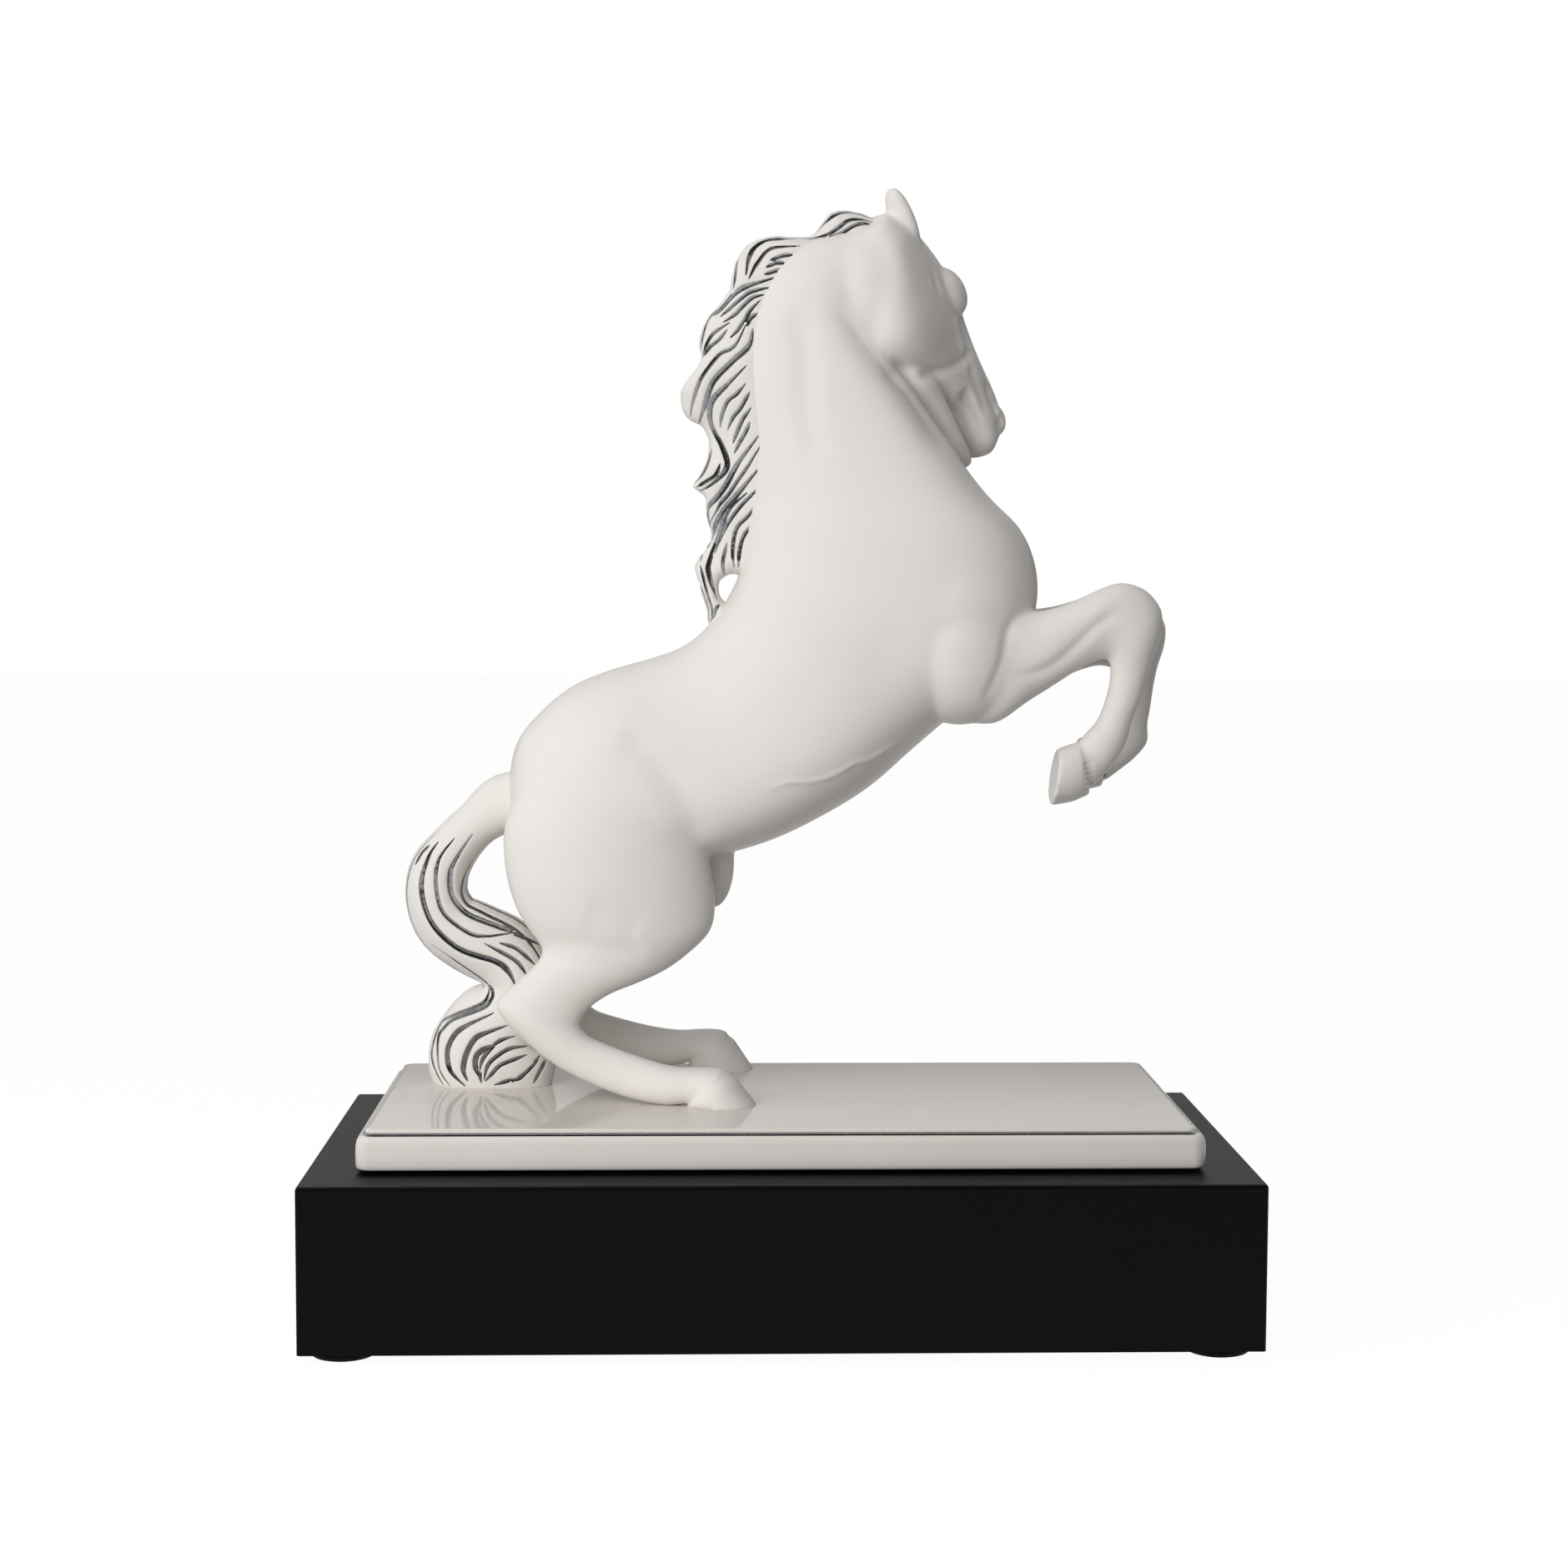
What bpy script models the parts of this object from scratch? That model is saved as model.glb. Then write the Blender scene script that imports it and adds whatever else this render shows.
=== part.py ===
"""Rearing horse figurine: slip-cast porcelain on a porcelain slab, bedded on a black lacquered plinth.

The horse is built as its maker builds it. One full sculpture is formed from stations along the trunk, neck, head,
legs and tail. It is then cut at the mould seams into the castings that are luted together before firing.
Lengths in the tables are millimetres. The figure's own frame has x towards the horse's chest, y towards the
horse's left and z up from the slab, with the centreline at y = 0.
"""

import math

import bmesh
import bpy
from mathutils import Matrix, Vector

MM = 0.001
RIGHT = -1
LEFT = 1

# Clearance between pieces that touch, and how far a cutter runs past what it cuts.
FIT = 0.3
OVERCUT = 1.0

# Plinth: a mitred box of boards on four rubber feet.
PLINTH_LENGTH = 320.0
PLINTH_WIDTH = 160.0
PLINTH_HEIGHT = 56.0
BOARD = 9.0
BOTTOM_BOARD = 6.0
PLINTH_EDGE_RADIUS = 1.2
CORNER_BLOCK = 18.0

# Feet and the screws that hold them.
FOOT_DIAMETER = 20.0
FOOT_HEIGHT = 4.0
FOOT_INSET = 14.0
FOOT_EDGE_RADIUS = 1.6
SCREW_DIAMETER = 3.0
SCREW_LENGTH = 16.0
SCREW_HEAD_DIAMETER = 6.4
SCREW_HEAD_HEIGHT = 1.6
SCREW_HEAD_EDGE = 0.6
SCREW_HEAD_FACE = 3.8
SCREW_POINT = 2.0
HEAD_RECESS_DIAMETER = 8.0
HEAD_RECESS_DEPTH = 2.4

# Slab: one casting with a drafted side, a lustre groove and a raised lip.
SLAB_LENGTH = 286.0
SLAB_WIDTH = 129.0
SLAB_HEIGHT = 13.5
SLAB_CORNER_RADIUS = 5.0
CORNER_TIGHTENING = 0.5
SLAB_DRAFT = 1.8
SLAB_OFFSET_Y = 2.7
SHOULDER_RADIUS = 1.6
LIP_INSET = 3.4
LIP_HEIGHT = 1.3
LIP_ROUND = 0.7
GROOVE_DEPTH = 0.5
GROOVE_WIDTH = 0.9
FOOT_ROUND = 1.2

# Silicone beads that bed the slab on the lacquer.
PAD_DIAMETER = 14.0
PAD_THICKNESS = 1.2
PAD_INSET = 22.0

# The figure on the slab.
FIGURE_OFFSET_Y = 18.0
SLIP_SEAM = 0.3
VOXEL = 1.4
SMOOTHING_PASSES = 5
TRUNK_SEGMENTS = 28
LIMB_SEGMENTS = 20
FIGURE_TRIANGLES = 6800

PLINTH_BOTTOM_Z = FOOT_HEIGHT
PLINTH_TOP_Z = PLINTH_BOTTOM_Z + PLINTH_HEIGHT
SLAB_BOTTOM_Z = PLINTH_TOP_Z + PAD_THICKNESS
SLAB_TOP_Z = SLAB_BOTTOM_Z + SLAB_HEIGHT

# Trunk and neck, from buttocks to poll: x and z of the upper line, x and z of the lower line, half width.
TRUNK = (
    (-97, 108, -93, 88, 10),
    (-94, 124, -86, 76, 21),
    (-86, 135, -73, 74, 28),
    (-74, 145, -56, 78, 32),
    (-60, 151, -38, 82, 33),
    (-46, 155, -20, 85, 32.5),
    (-34, 159.5, -3, 90, 34),
    (-26, 166, 14, 98, 36),
    (-20.5, 173, 32, 109, 37),
    (-17, 179, 48, 123, 36.5),
    (-14.5, 184.5, 61, 134, 35),
    (-12.5, 190, 75, 144, 33.5),
    (-11, 196, 88, 160, 32),
    (-10, 201, 92.5, 176, 31.5),
    (-9, 207, 91.5, 190, 30.5),
    (-8, 213, 86, 202, 28.5),
    (-7.5, 221, 76, 212, 26),
    (-7, 230, 68.5, 221, 23.5),
    (-7.5, 240, 61, 232, 21),
    (-9, 251, 53, 243, 19.5),
    (-9.5, 262, 46, 254, 18.5),
    (-9, 273, 39, 265, 17.5),
    (-5, 284, 33, 276, 16.5),
    (2, 294, 31, 284, 15.5),
    (12, 302, 34, 288, 14.5),
    (24, 307, 42, 290, 13),
    (34, 309, 50, 292, 10),
)
TRUNK_EGG = 0.22

# Quarter and hind leg, from the hip to the hock: the same, with the distance from the centreline added.
HIND_LEG = (
    (-46, 139, -80, 132, 9, 15),
    (-36, 120, -92, 112, 17, 17),
    (-29, 101, -97, 96, 19.5, 18),
    (-24.5, 84, -96.5, 80, 19, 19),
    (-22.5, 70, -93, 68, 17.5, 20),
    (-24, 60, -89, 61, 15.5, 21),
    (-31, 52.5, -85.5, 56.5, 13.5, 22),
    (-40, 46, -83.5, 53, 11.5, 23),
    (-50, 41.5, -84.5, 50, 9.8, 24.5),
    (-59, 38, -87.5, 46.5, 8.4, 25.5),
    (-66, 33.5, -92.5, 42, 7.6, 26),
    (-69.5, 29, -97, 38, 7.6, 26.5),
    (-70, 26.5, -99.5, 34, 7.8, 26.5),
)
# The rest of the hind leg, from the hock to the pastern.
HIND_CANNON = (
    (-68.5, 24.5, -96.5, 28.5, 7.5, 26.5),
    (-66, 22.5, -89, 21.5, 6.8, 27),
    (-61, 20.5, -79, 14, 5.8, 27),
    (-54, 18, -68, 8.5, 5.3, 27.5),
    (-47, 15.8, -58, 4.5, 5.4, 28),
    (-41, 14.2, -49, 1.8, 6.2, 28),
    (-35, 13, -41, 0.9, 6.6, 28),
    (-29, 12.8, -34, 2.2, 6.4, 28),
    (-22, 12.6, -30, 3.2, 7.4, 28),
    (-17.5, 11.8, -28, 3.8, 8.4, 28),
)
HIND_HOOF = (
    (-18.2, 12.6, -30.5, 4.5, 9.4),
    (-14.5, 8, -32, 2.4, 10.4),
    (-8.2, 0, -32.5, -1.6, 11.4),
    (-7.5, -2.5, -32.5, -3, 11.4),
)
LEFT_HIND_LIFT = 4.5
LEFT_HIND_LIFT_FROM = -66.0
LEFT_HIND_LIFT_TO = -30.0

# Foreleg, from inside the chest to the knee, then from the knee to the pastern.
FORELEG = (
    (74, 182, 50, 148, 11, 18),
    (84, 174, 62, 137, 12, 19),
    (92, 173, 75, 134.5, 11.2, 20),
    (100, 175, 87, 140.5, 9.8, 21),
    (108, 178.5, 97, 147, 8.6, 21.5),
    (114.5, 181.5, 105.5, 152.5, 7.8, 22),
    (121, 182.8, 111.5, 155.5, 7.6, 22),
    (128.6, 180.2, 114.5, 156.2, 7.8, 22),
    (134, 173.6, 116, 155.2, 7.8, 22),
)
FORE_CANNON = (
    (134.4, 165.5, 116.5, 152.5, 7.0, 22),
    (132, 157.5, 116.4, 149, 5.9, 22),
    (129.6, 149.5, 115.6, 144.5, 5.4, 22),
    (127.4, 141.5, 113.8, 138.5, 5.3, 22),
    (124.5, 134.5, 111.5, 133.6, 5.6, 22),
    (122.8, 127.5, 108.6, 130.5, 6.5, 22),
    (119.5, 121, 107, 128.6, 6.3, 22),
    (115, 115.5, 105.6, 127, 6.0, 22),
    (110.5, 110.5, 104.6, 126.2, 7.2, 22),
)
FORE_HOOF = ((109, 107.2, 105, 126.6, 9.4), (103.5, 105.6, 101.5, 125.6, 10.2), (95.5, 104.2, 98, 124.2, 11.2))
LEFT_FORE_REACH = (8.0, 1.5, -2.5)

# Sheath on the belly: centre x and z, then the three radii.
SHEATH = ((-23, 82), (7.5, 7, 17))

# Head in its own frame: u runs down the face from the poll and v out of the forehead.
# Rows: u, v of the face line, v of the jaw line, half width.
HEAD_POLL = (40.0, 4.0, 310.0)
HEAD_TURN = 38.0
HEAD_DROP = 52.0
HEAD_ROLL = -10.0
HEAD = (
    (-7, -5, -24, 8),
    (0, 0.5, -30, 12.5),
    (8, 3.6, -36, 14.5),
    (17, 6.0, -39.5, 15.5),
    (26, 7.0, -40.5, 16),
    (35, 6.8, -38, 14.5),
    (44, 5.4, -32, 12),
    (53, 3.8, -26, 10.6),
    (62, 2.6, -22, 9.8),
    (71, 1.8, -20.6, 9.6),
    (79, -0.4, -20.6, 10.2),
    (85.5, -5.5, -20.8, 9.4),
    (90, -12, -20, 6.2),
)
LOWER_JAW = (
    (34, -24, -42, 10),
    (46, -22, -38.5, 8.8),
    (58, -23, -35, 7.4),
    (69, -24, -34, 7),
    (76, -24.5, -34.5, 7),
    (82, -25, -34, 6.5),
    (86, -26, -32, 5),
)
# Cheek, orbit, nostril and cheekbone on each side: u, v and side of the centre, then the three radii.
HEAD_MASSES = (
    (27, -24, 8.5, 20.5, 17.5, 9),
    (31, -1.8, 12, 9, 6, 4.8),
    (82, -8.5, 7.4, 6.5, 5.6, 4.2),
    (54, -8, 7, 17, 5, 4),
)
EAR_LENGTH = 17.5
EAR_WIDTH = 10.0
EAR_THICKNESS = 7.0
EAR_ROOT = (3.0, -4.5, 8.5)
# Side, lean back from the forehead's line and spread from the crest. The left ear is laid back by the mane.
EARS = ((RIGHT, 75.0, 4.0), (LEFT, 110.0, 30.0))

# Tail, from the dock to where it rests on the slab: centre x and z, half depth, half width, side.
TAIL = (
    (-86, 104.5, 10.5, 9, 0),
    (-98, 102.5, 11, 9, 0),
    (-107, 97, 10, 8.5, 0),
    (-115.5, 88.5, 10, 9.5, 1),
    (-121.5, 79, 10.8, 10.5, 1),
    (-122.8, 69, 11.4, 11, 1.5),
    (-118.5, 59.5, 12.4, 11.5, 2),
    (-109, 53.5, 13.4, 12, 2),
    (-98.5, 48, 13.6, 12, 2),
    (-92.5, 39, 13, 12, 2),
    (-95, 30, 13.5, 12, 3),
    (-101, 22, 18, 12, 4),
    (-103.5, 13.5, 22.5, 12, 4),
    (-103, 6, 23, 11.5, 4),
    (-102.5, 0, 21, 10, 4),
    (-102.5, -5, 19, 8, 4),
)
# Strands laid round the tail: how many, their radius, how far out they lie as a share of it, and their turn.
TAIL_STRANDS = 7
TAIL_STRAND_RADIUS = 3.0
TAIL_STRAND_OUT = 0.72
TAIL_TWIST = 150.0
TAIL_TRIANGLES = 1300

# Mane: a comb of hair from its edge to inside the neck: x and z of the edge, of the root, half width.
MANE_COMB = (
    (26, 309, 24, 296, 5),
    (15, 306, 14, 294, 5),
    (-3, 301, 6, 290, 6),
    (-12, 289, 1, 281, 6),
    (-20, 272, -1, 268, 6),
    (-25, 254, 0, 254, 6),
    (-22, 238, 1, 240, 6),
    (-20, 224, 1, 226, 6),
    (-19, 210, 0, 212, 5.5),
    (-20, 198, -2, 200, 5),
    (-17, 189, -6, 192, 4),
)
# Locks that leave the comb: x, z and radius along each one.
MANE_LOCKS = (
    ((34, 304, 4), (28, 308.5, 5.5), (20, 309, 6), (13, 304.5, 5), (5, 300, 3.5)),
    ((8, 301, 4), (-2, 299.5, 5.5), (-10, 295.5, 6), (-13, 288, 5), (-15, 281, 3)),
    ((-3, 288, 4), (-12, 283.5, 5.5), (-20, 275.5, 6), (-23, 268, 5), (-26, 261, 3)),
    ((-7, 272, 4), (-16, 264, 6), (-25, 254, 7), (-28.5, 248, 6.8), (-28, 242, 4.5)),
    ((-8, 258, 4), (-16, 248, 5.5), (-20, 238, 6), (-22, 229, 5.5), (-27, 219.5, 3), (-30, 216, 1.8)),
    ((-8, 240, 4), (-14, 230, 5.5), (-19, 221, 5.5), (-21, 211, 5.5), (-23, 203, 3.5)),
    ((-8, 224, 4), (-14, 214, 5), (-20, 203, 5), (-24, 195, 5), (-26, 189, 4)),
    ((-10, 208, 4), (-17, 197, 5), (-24, 188.5, 5), (-26, 180, 4), (-24, 171, 3.6), (-21.5, 161, 3.6)),
    ((-10, 200, 4), (-15, 191, 4), (-16, 186, 3)),
)
LOCK_SIDE = 2.2
MANE_TRIANGLES = 1500
HAIR_VOXEL = 1.2
HAIR_SMOOTHING = 3

# Mould seams: a point on the seam, which way the limb runs from it, half size of the region that it crosses.
SEAMS = (
    ((32, 0, 218), (-0.1, 0, 1), (50, 36, 14)),
    ((99, -21.5, 161), (0.92, 0, 0.4), (22, 17, 27)),
    ((100, 22, 160), (0.92, 0, 0.4), (22, 17, 27)),
    ((-59, -22, 53), (-0.1, 0, -1), (36, 19, 14)),
    ((-59, 22, 53), (-0.1, 0, -1), (36, 19, 14)),
)
# Each casting, and a point near which only it has material.
CASTINGS = (
    ("body", (0, 0, 130)),
    ("head_and_neck", (40, 4, 300)),
    ("foreleg_right", (128, -22, 165)),
    ("foreleg_left", (136, 24, 163)),
    ("hind_leg_right", (-25, -28, 8)),
    ("hind_leg_left", (-25, 28, 12)),
)


def clear_scene():
    for old in list(bpy.data.objects):
        bpy.data.objects.remove(old)


def material(name, colour, roughness, metallic=0.0):
    made = bpy.data.materials.new(name)
    made.use_nodes = True
    shader = made.node_tree.nodes["Principled BSDF"]
    shader.inputs["Base Color"].default_value = (*colour, 1.0)
    shader.inputs["Roughness"].default_value = roughness
    shader.inputs["Metallic"].default_value = metallic
    return made


def mesh_from(bm, name):
    bmesh.ops.recalc_face_normals(bm, faces=bm.faces)
    mesh = bpy.data.meshes.new(name)
    bm.to_mesh(mesh)
    bm.free()
    return mesh


def add_object(name, mesh, finish, place=(0.0, 0.0, 0.0), smooth_angle=40.0):
    made = bpy.data.objects.new(name, mesh)
    made.location = Vector(place) * MM
    bpy.context.scene.collection.objects.link(made)
    if not mesh.materials:
        mesh.materials.append(finish)
        mesh.shade_smooth()
        mesh.set_sharp_from_angle(angle=math.radians(smooth_angle))
    return made


def add_guide(name, mesh, place=(0.0, 0.0, 0.0)):
    """A helper that shapes or cuts others and is no part of the object."""
    guide = bpy.data.objects.new(name, mesh)
    guide.location = Vector(place) * MM
    guide.hide_render = True
    guide.display_type = "WIRE"
    bpy.context.scene.collection.objects.link(guide)
    return guide


def evaluated_mesh(obj):
    """A copy of the object's mesh with its modifiers applied."""
    graph = bpy.context.evaluated_depsgraph_get()
    return bpy.data.meshes.new_from_object(obj.evaluated_get(graph))


def fused(mesh, name, voxel, passes, triangles):
    """The separate forms in a mesh grown into one skin, fettled smooth, thinned to a number of triangles and ground
    flat where they stand on the slab."""
    guide = add_guide(name, mesh)
    remesh = guide.modifiers.new("fuse", "REMESH")
    remesh.mode = "VOXEL"
    remesh.voxel_size = voxel * MM
    fettle = guide.modifiers.new("fettle", "SMOOTH")
    fettle.iterations = passes
    found = sum(len(face.vertices) - 2 for face in evaluated_mesh(guide).polygons)
    thin = guide.modifiers.new("thin", "DECIMATE")
    thin.ratio = triangles / found
    skin = bmesh.new()
    skin.from_mesh(evaluated_mesh(guide))
    bpy.data.objects.remove(guide)
    geometry = [*skin.verts, *skin.edges, *skin.faces]
    bmesh.ops.bisect_plane(skin, geom=geometry, plane_co=(0, 0, 0), plane_no=(0, 0, 1), clear_inner=True)
    bmesh.ops.holes_fill(skin, edges=[edge for edge in skin.edges if edge.is_boundary])
    bmesh.ops.triangulate(skin, faces=skin.faces)
    return mesh_from(skin, name)


def ring(bm, matrix, segments, egg=0.0):
    """One closed cross-section: a circle, drawn in towards its +X side by egg, placed by the matrix."""
    made = bmesh.ops.create_circle(bm, segments=segments, radius=1.0)["verts"]
    for vert in made:
        vert.co.y *= 1.0 - egg * vert.co.x
        vert.co = matrix @ vert.co
    return made


def ring_edges(verts):
    found = set(verts)
    return list({edge for vert in verts for edge in vert.link_edges if found.issuperset(edge.verts)})


def skin_over(bm, matrices, segments, egg=0.0):
    """A closed form through a row of cross-sections."""
    rings = [ring(bm, matrix, segments, egg) for matrix in matrices]
    ends = [ring_edges(rings[0]), ring_edges(rings[-1])]
    for first, second in zip(rings, rings[1:]):
        bmesh.ops.bridge_loops(bm, edges=ring_edges(first) + ring_edges(second))
    for end in ends:
        bmesh.ops.contextual_create(bm, geom=end)


def section(upper, lower, half_width, side=0.0):
    """The matrix that lays a unit circle between an upper and a lower point of the side view."""
    top = Vector((upper[0], side, upper[1])) * MM
    foot = Vector((lower[0], side, lower[1])) * MM
    across = Vector((0.0, half_width * MM, 0.0))
    up = (top - foot) / 2
    along = up.cross(across).normalized() * MM
    frame = Matrix((up, across, along)).transposed().to_4x4()
    frame.translation = (top + foot) / 2
    return frame


def path_frames(points, half_depths, half_widths):
    """Cross-section matrices along a path of points in millimetres, with the depth in the plane of the side view."""
    frames = []
    for i, point in enumerate(points):
        before, after = points[max(i - 1, 0)], points[min(i + 1, len(points) - 1)]
        along = (Vector(after) - Vector(before)).normalized()
        across = Vector((0.0, 1.0, 0.0))
        across = (across - along * across.dot(along)).normalized()
        up = across.cross(along)
        columns = (up * half_depths[i] * MM, across * half_widths[i] * MM, along * MM)
        frame = Matrix(columns).transposed().to_4x4()
        frame.translation = Vector(point) * MM
        frames.append(frame)
    return frames


def head_frame():
    """The head's frame: its columns run down the face, out of the forehead and to the horse's right."""
    turn, drop = math.radians(HEAD_TURN), math.radians(HEAD_DROP)
    down_face = Vector((math.cos(drop) * math.cos(turn), math.cos(drop) * math.sin(turn), -math.sin(drop)))
    out = Vector((math.sin(drop) * math.cos(turn), math.sin(drop) * math.sin(turn), math.cos(drop)))
    right = down_face.cross(out)
    roll = Matrix.Rotation(math.radians(HEAD_ROLL), 3, down_face)
    frame = Matrix((down_face, roll @ out, roll @ right)).transposed().to_4x4()
    frame.translation = Vector(HEAD_POLL) * MM
    return frame


def head_section(frame, row):
    u, v_top, v_bottom, half_width = row
    local = Matrix.Translation(Vector((u, (v_top + v_bottom) / 2, 0)) * MM)
    columns = Matrix(((0, 0, 1), ((v_top - v_bottom) / 2 * MM, 0, 0), (0, half_width * MM, 0)))
    return frame @ local @ columns.to_4x4()


def mass(bm, frame, centre, radii):
    """A muscle or bone form: an ellipsoid in the given frame."""
    place = Matrix.Translation(Vector(centre) * MM) @ Matrix.Diagonal((*(Vector(radii) * MM), 1.0))
    bmesh.ops.create_icosphere(bm, subdivisions=3, radius=1.0, matrix=frame @ place)


def ear(bm, frame, side, lean_back, spread):
    """A leaf that is widest a third of the way up, with its root in the skull."""
    u, v, out = EAR_ROOT
    lean = Matrix.Rotation(math.radians(lean_back), 4, "Z")
    away = Matrix.Rotation(math.radians(side * spread), 4, "Y")
    base = frame @ Matrix.Translation(Vector((u, v, -side * out)) * MM) @ away @ lean
    rows = []
    for share, breadth in ((-0.3, 0.7), (0.0, 0.95), (0.3, 1.0), (0.6, 0.82), (0.85, 0.5), (1.0, 0.2)):
        columns = Matrix(((0, EAR_THICKNESS / 2 * breadth, 0), (0, 0, 1), (EAR_WIDTH / 2 * breadth, 0, 0)))
        size = (columns * MM).to_4x4()
        size.translation = Vector((0, share * EAR_LENGTH * MM, 0))
        rows.append(base @ size)
    skin_over(bm, rows, 12)


def trunk_form(bm):
    skin_over(bm, [section(r[0:2], r[2:4], r[4]) for r in TRUNK], TRUNK_SEGMENTS, TRUNK_EGG)
    (x, z), radii = SHEATH
    mass(bm, Matrix.Identity(4), (x, 0, z), radii)


def lifted(row, lift):
    """A row of the left hind leg, whose fetlock stands higher than the right one's."""
    x = (row[0] + row[2]) / 2
    share = (x - LEFT_HIND_LIFT_FROM) / (LEFT_HIND_LIFT_TO - LEFT_HIND_LIFT_FROM)
    rise = lift * max(0.0, min(1.0, share))
    return (row[0], row[1] + rise, row[2], row[3] + rise, *row[4:])


def hind_leg_form(bm, side, lift):
    rows = [*HIND_LEG, *(lifted(row, lift) for row in HIND_CANNON)]
    skin_over(bm, [section(r[0:2], r[2:4], r[4], side * r[5]) for r in rows], LIMB_SEGMENTS)
    crown_x, crown_z = HIND_HOOF[0][0], HIND_HOOF[0][1]
    stretch = 1 + lift / crown_z
    hoof = [(r[0], r[1] * stretch, r[2], r[3] * stretch, r[4]) for r in HIND_HOOF]
    out = side * HIND_CANNON[-1][5]
    skin_over(bm, [section(r[0:2], r[2:4], r[4], out) for r in hoof], LIMB_SEGMENTS)


def foreleg_form(bm, side, reach):
    """reach shifts the leg forward, out and up, growing from the elbow to the knee."""
    chest_x, knee_x = FORELEG[2][0], FORELEG[-1][0]
    shares = [max(0.0, min(1.0, (row[0] - chest_x) / (knee_x - chest_x))) for row in FORELEG]
    rows = []
    for row, share in zip(FORELEG + FORE_CANNON, shares + [1.0] * len(FORE_CANNON)):
        dx, dy, dz = (share * amount for amount in reach)
        rows.append((row[0] + dx, row[1] + dz, row[2] + dx, row[3] + dz, row[4], side * (row[5] + dy)))
    skin_over(bm, [section(r[0:2], r[2:4], r[4], r[5]) for r in rows], LIMB_SEGMENTS)
    dx, dy, dz = reach
    out = side * (FORE_CANNON[-1][5] + dy)
    hoof = [section((r[0] + dx, r[1] + dz), (r[2] + dx, r[3] + dz), r[4], out) for r in FORE_HOOF]
    skin_over(bm, hoof, LIMB_SEGMENTS)


def head_form(bm):
    frame = head_frame()
    skin_over(bm, [head_section(frame, row) for row in HEAD], LIMB_SEGMENTS)
    skin_over(bm, [head_section(frame, row) for row in LOWER_JAW], LIMB_SEGMENTS)
    for side in (RIGHT, LEFT):
        for u, v, out, *radii in HEAD_MASSES:
            mass(bm, frame, (u, v, -side * out), radii)
    for side, lean_back, spread in EARS:
        ear(bm, frame, side, lean_back, spread)


def figure_form():
    """The whole sculpture without its mane and tail."""
    bm = bmesh.new()
    trunk_form(bm)
    for side, lift, reach in ((RIGHT, 0.0, (0.0, 0.0, 0.0)), (LEFT, LEFT_HIND_LIFT, LEFT_FORE_REACH)):
        hind_leg_form(bm, side, lift)
        foreleg_form(bm, side, reach)
    head_form(bm)
    return mesh_from(bm, "figure_form")


def cut_seam(bm, point, direction, reach):
    """Takes a slice as thick as the slip seam out of one limb, and closes both ends."""
    point, normal = Vector(point) * MM, Vector(direction).normalized()
    half = SLIP_SEAM / 2 * MM

    def crossed(centre):
        return all(abs(centre[i] - point[i]) < reach[i] * MM for i in range(3))

    for offset in (-half, half):
        faces = [face for face in bm.faces if crossed(face.calc_center_median())]
        edges = {edge for face in faces for edge in face.edges}
        verts = {vert for face in faces for vert in face.verts}
        geometry = [*faces, *edges, *verts]
        bmesh.ops.bisect_plane(bm, geom=geometry, plane_co=point + normal * offset, plane_no=normal)
    slice_faces = []
    for face in bm.faces:
        centre = face.calc_center_median()
        if crossed(centre) and abs((centre - point).dot(normal)) < half:
            slice_faces.append(face)
    bmesh.ops.delete(bm, geom=slice_faces, context="FACES")
    bmesh.ops.holes_fill(bm, edges=[edge for edge in bm.edges if edge.is_boundary])


def island_at(bm, point):
    """The vertices of the body whose surface comes nearest to a point."""
    target = Vector(point) * MM
    found = {min(bm.verts, key=lambda vert: (vert.co - target).length)}
    edge_of_search = list(found)
    while edge_of_search:
        vert = edge_of_search.pop()
        for edge in vert.link_edges:
            other = edge.other_vert(vert)
            if other not in found:
                found.add(other)
                edge_of_search.append(other)
    return found


def add_castings(skin, place, finish):
    """Cuts the sculpture at its mould seams and adds each casting."""
    whole = bmesh.new()
    whole.from_mesh(skin)
    for point, direction, reach in SEAMS:
        cut_seam(whole, point, direction, reach)
    for name, point in CASTINGS:
        bm = whole.copy()
        kept = island_at(bm, point)
        bmesh.ops.delete(bm, geom=[vert for vert in bm.verts if vert not in kept], context="VERTS")
        bmesh.ops.triangulate(bm, faces=bm.faces)
        add_object(name, mesh_from(bm, name), finish, place)
    whole.free()


def tail_form():
    bm = bmesh.new()
    points = [(x, side, z) for x, z, _, _, side in TAIL]
    frames = path_frames(points, [row[2] for row in TAIL], [row[3] for row in TAIL])
    skin_over(bm, frames, LIMB_SEGMENTS)
    for i in range(TAIL_STRANDS):
        first = math.tau * i / TAIL_STRANDS
        strand = []
        for j, frame in enumerate(frames[2:]):
            angle = first + math.radians(TAIL_TWIST) * j / len(frames)
            around = Vector((math.cos(angle), math.sin(angle), 0)) * TAIL_STRAND_OUT
            strand.append(frame @ around / MM)
        radii = [TAIL_STRAND_RADIUS] * len(strand)
        skin_over(bm, path_frames(strand, radii, radii), 8)
    return mesh_from(bm, "tail_form")


def mane_form():
    bm = bmesh.new()
    skin_over(bm, [section(r[0:2], r[2:4], r[4]) for r in MANE_COMB], 12)
    for i, lock in enumerate(MANE_LOCKS):
        side = LOCK_SIDE if i % 2 else -LOCK_SIDE
        radii = [radius for _, _, radius in lock]
        skin_over(bm, path_frames([(x, side, z) for x, z, _ in lock], radii, radii), 12)
    return mesh_from(bm, "mane_form")


def add_hair(name, form, triangles, clearance, place, finish):
    """A hair casting, fitted to the figure over the slip seam."""
    hair = add_object(name, fused(form, name, HAIR_VOXEL, HAIR_SMOOTHING, triangles), finish, place)
    fit = hair.modifiers.new("fit", "BOOLEAN")
    fit.object = clearance
    return hair


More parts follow.
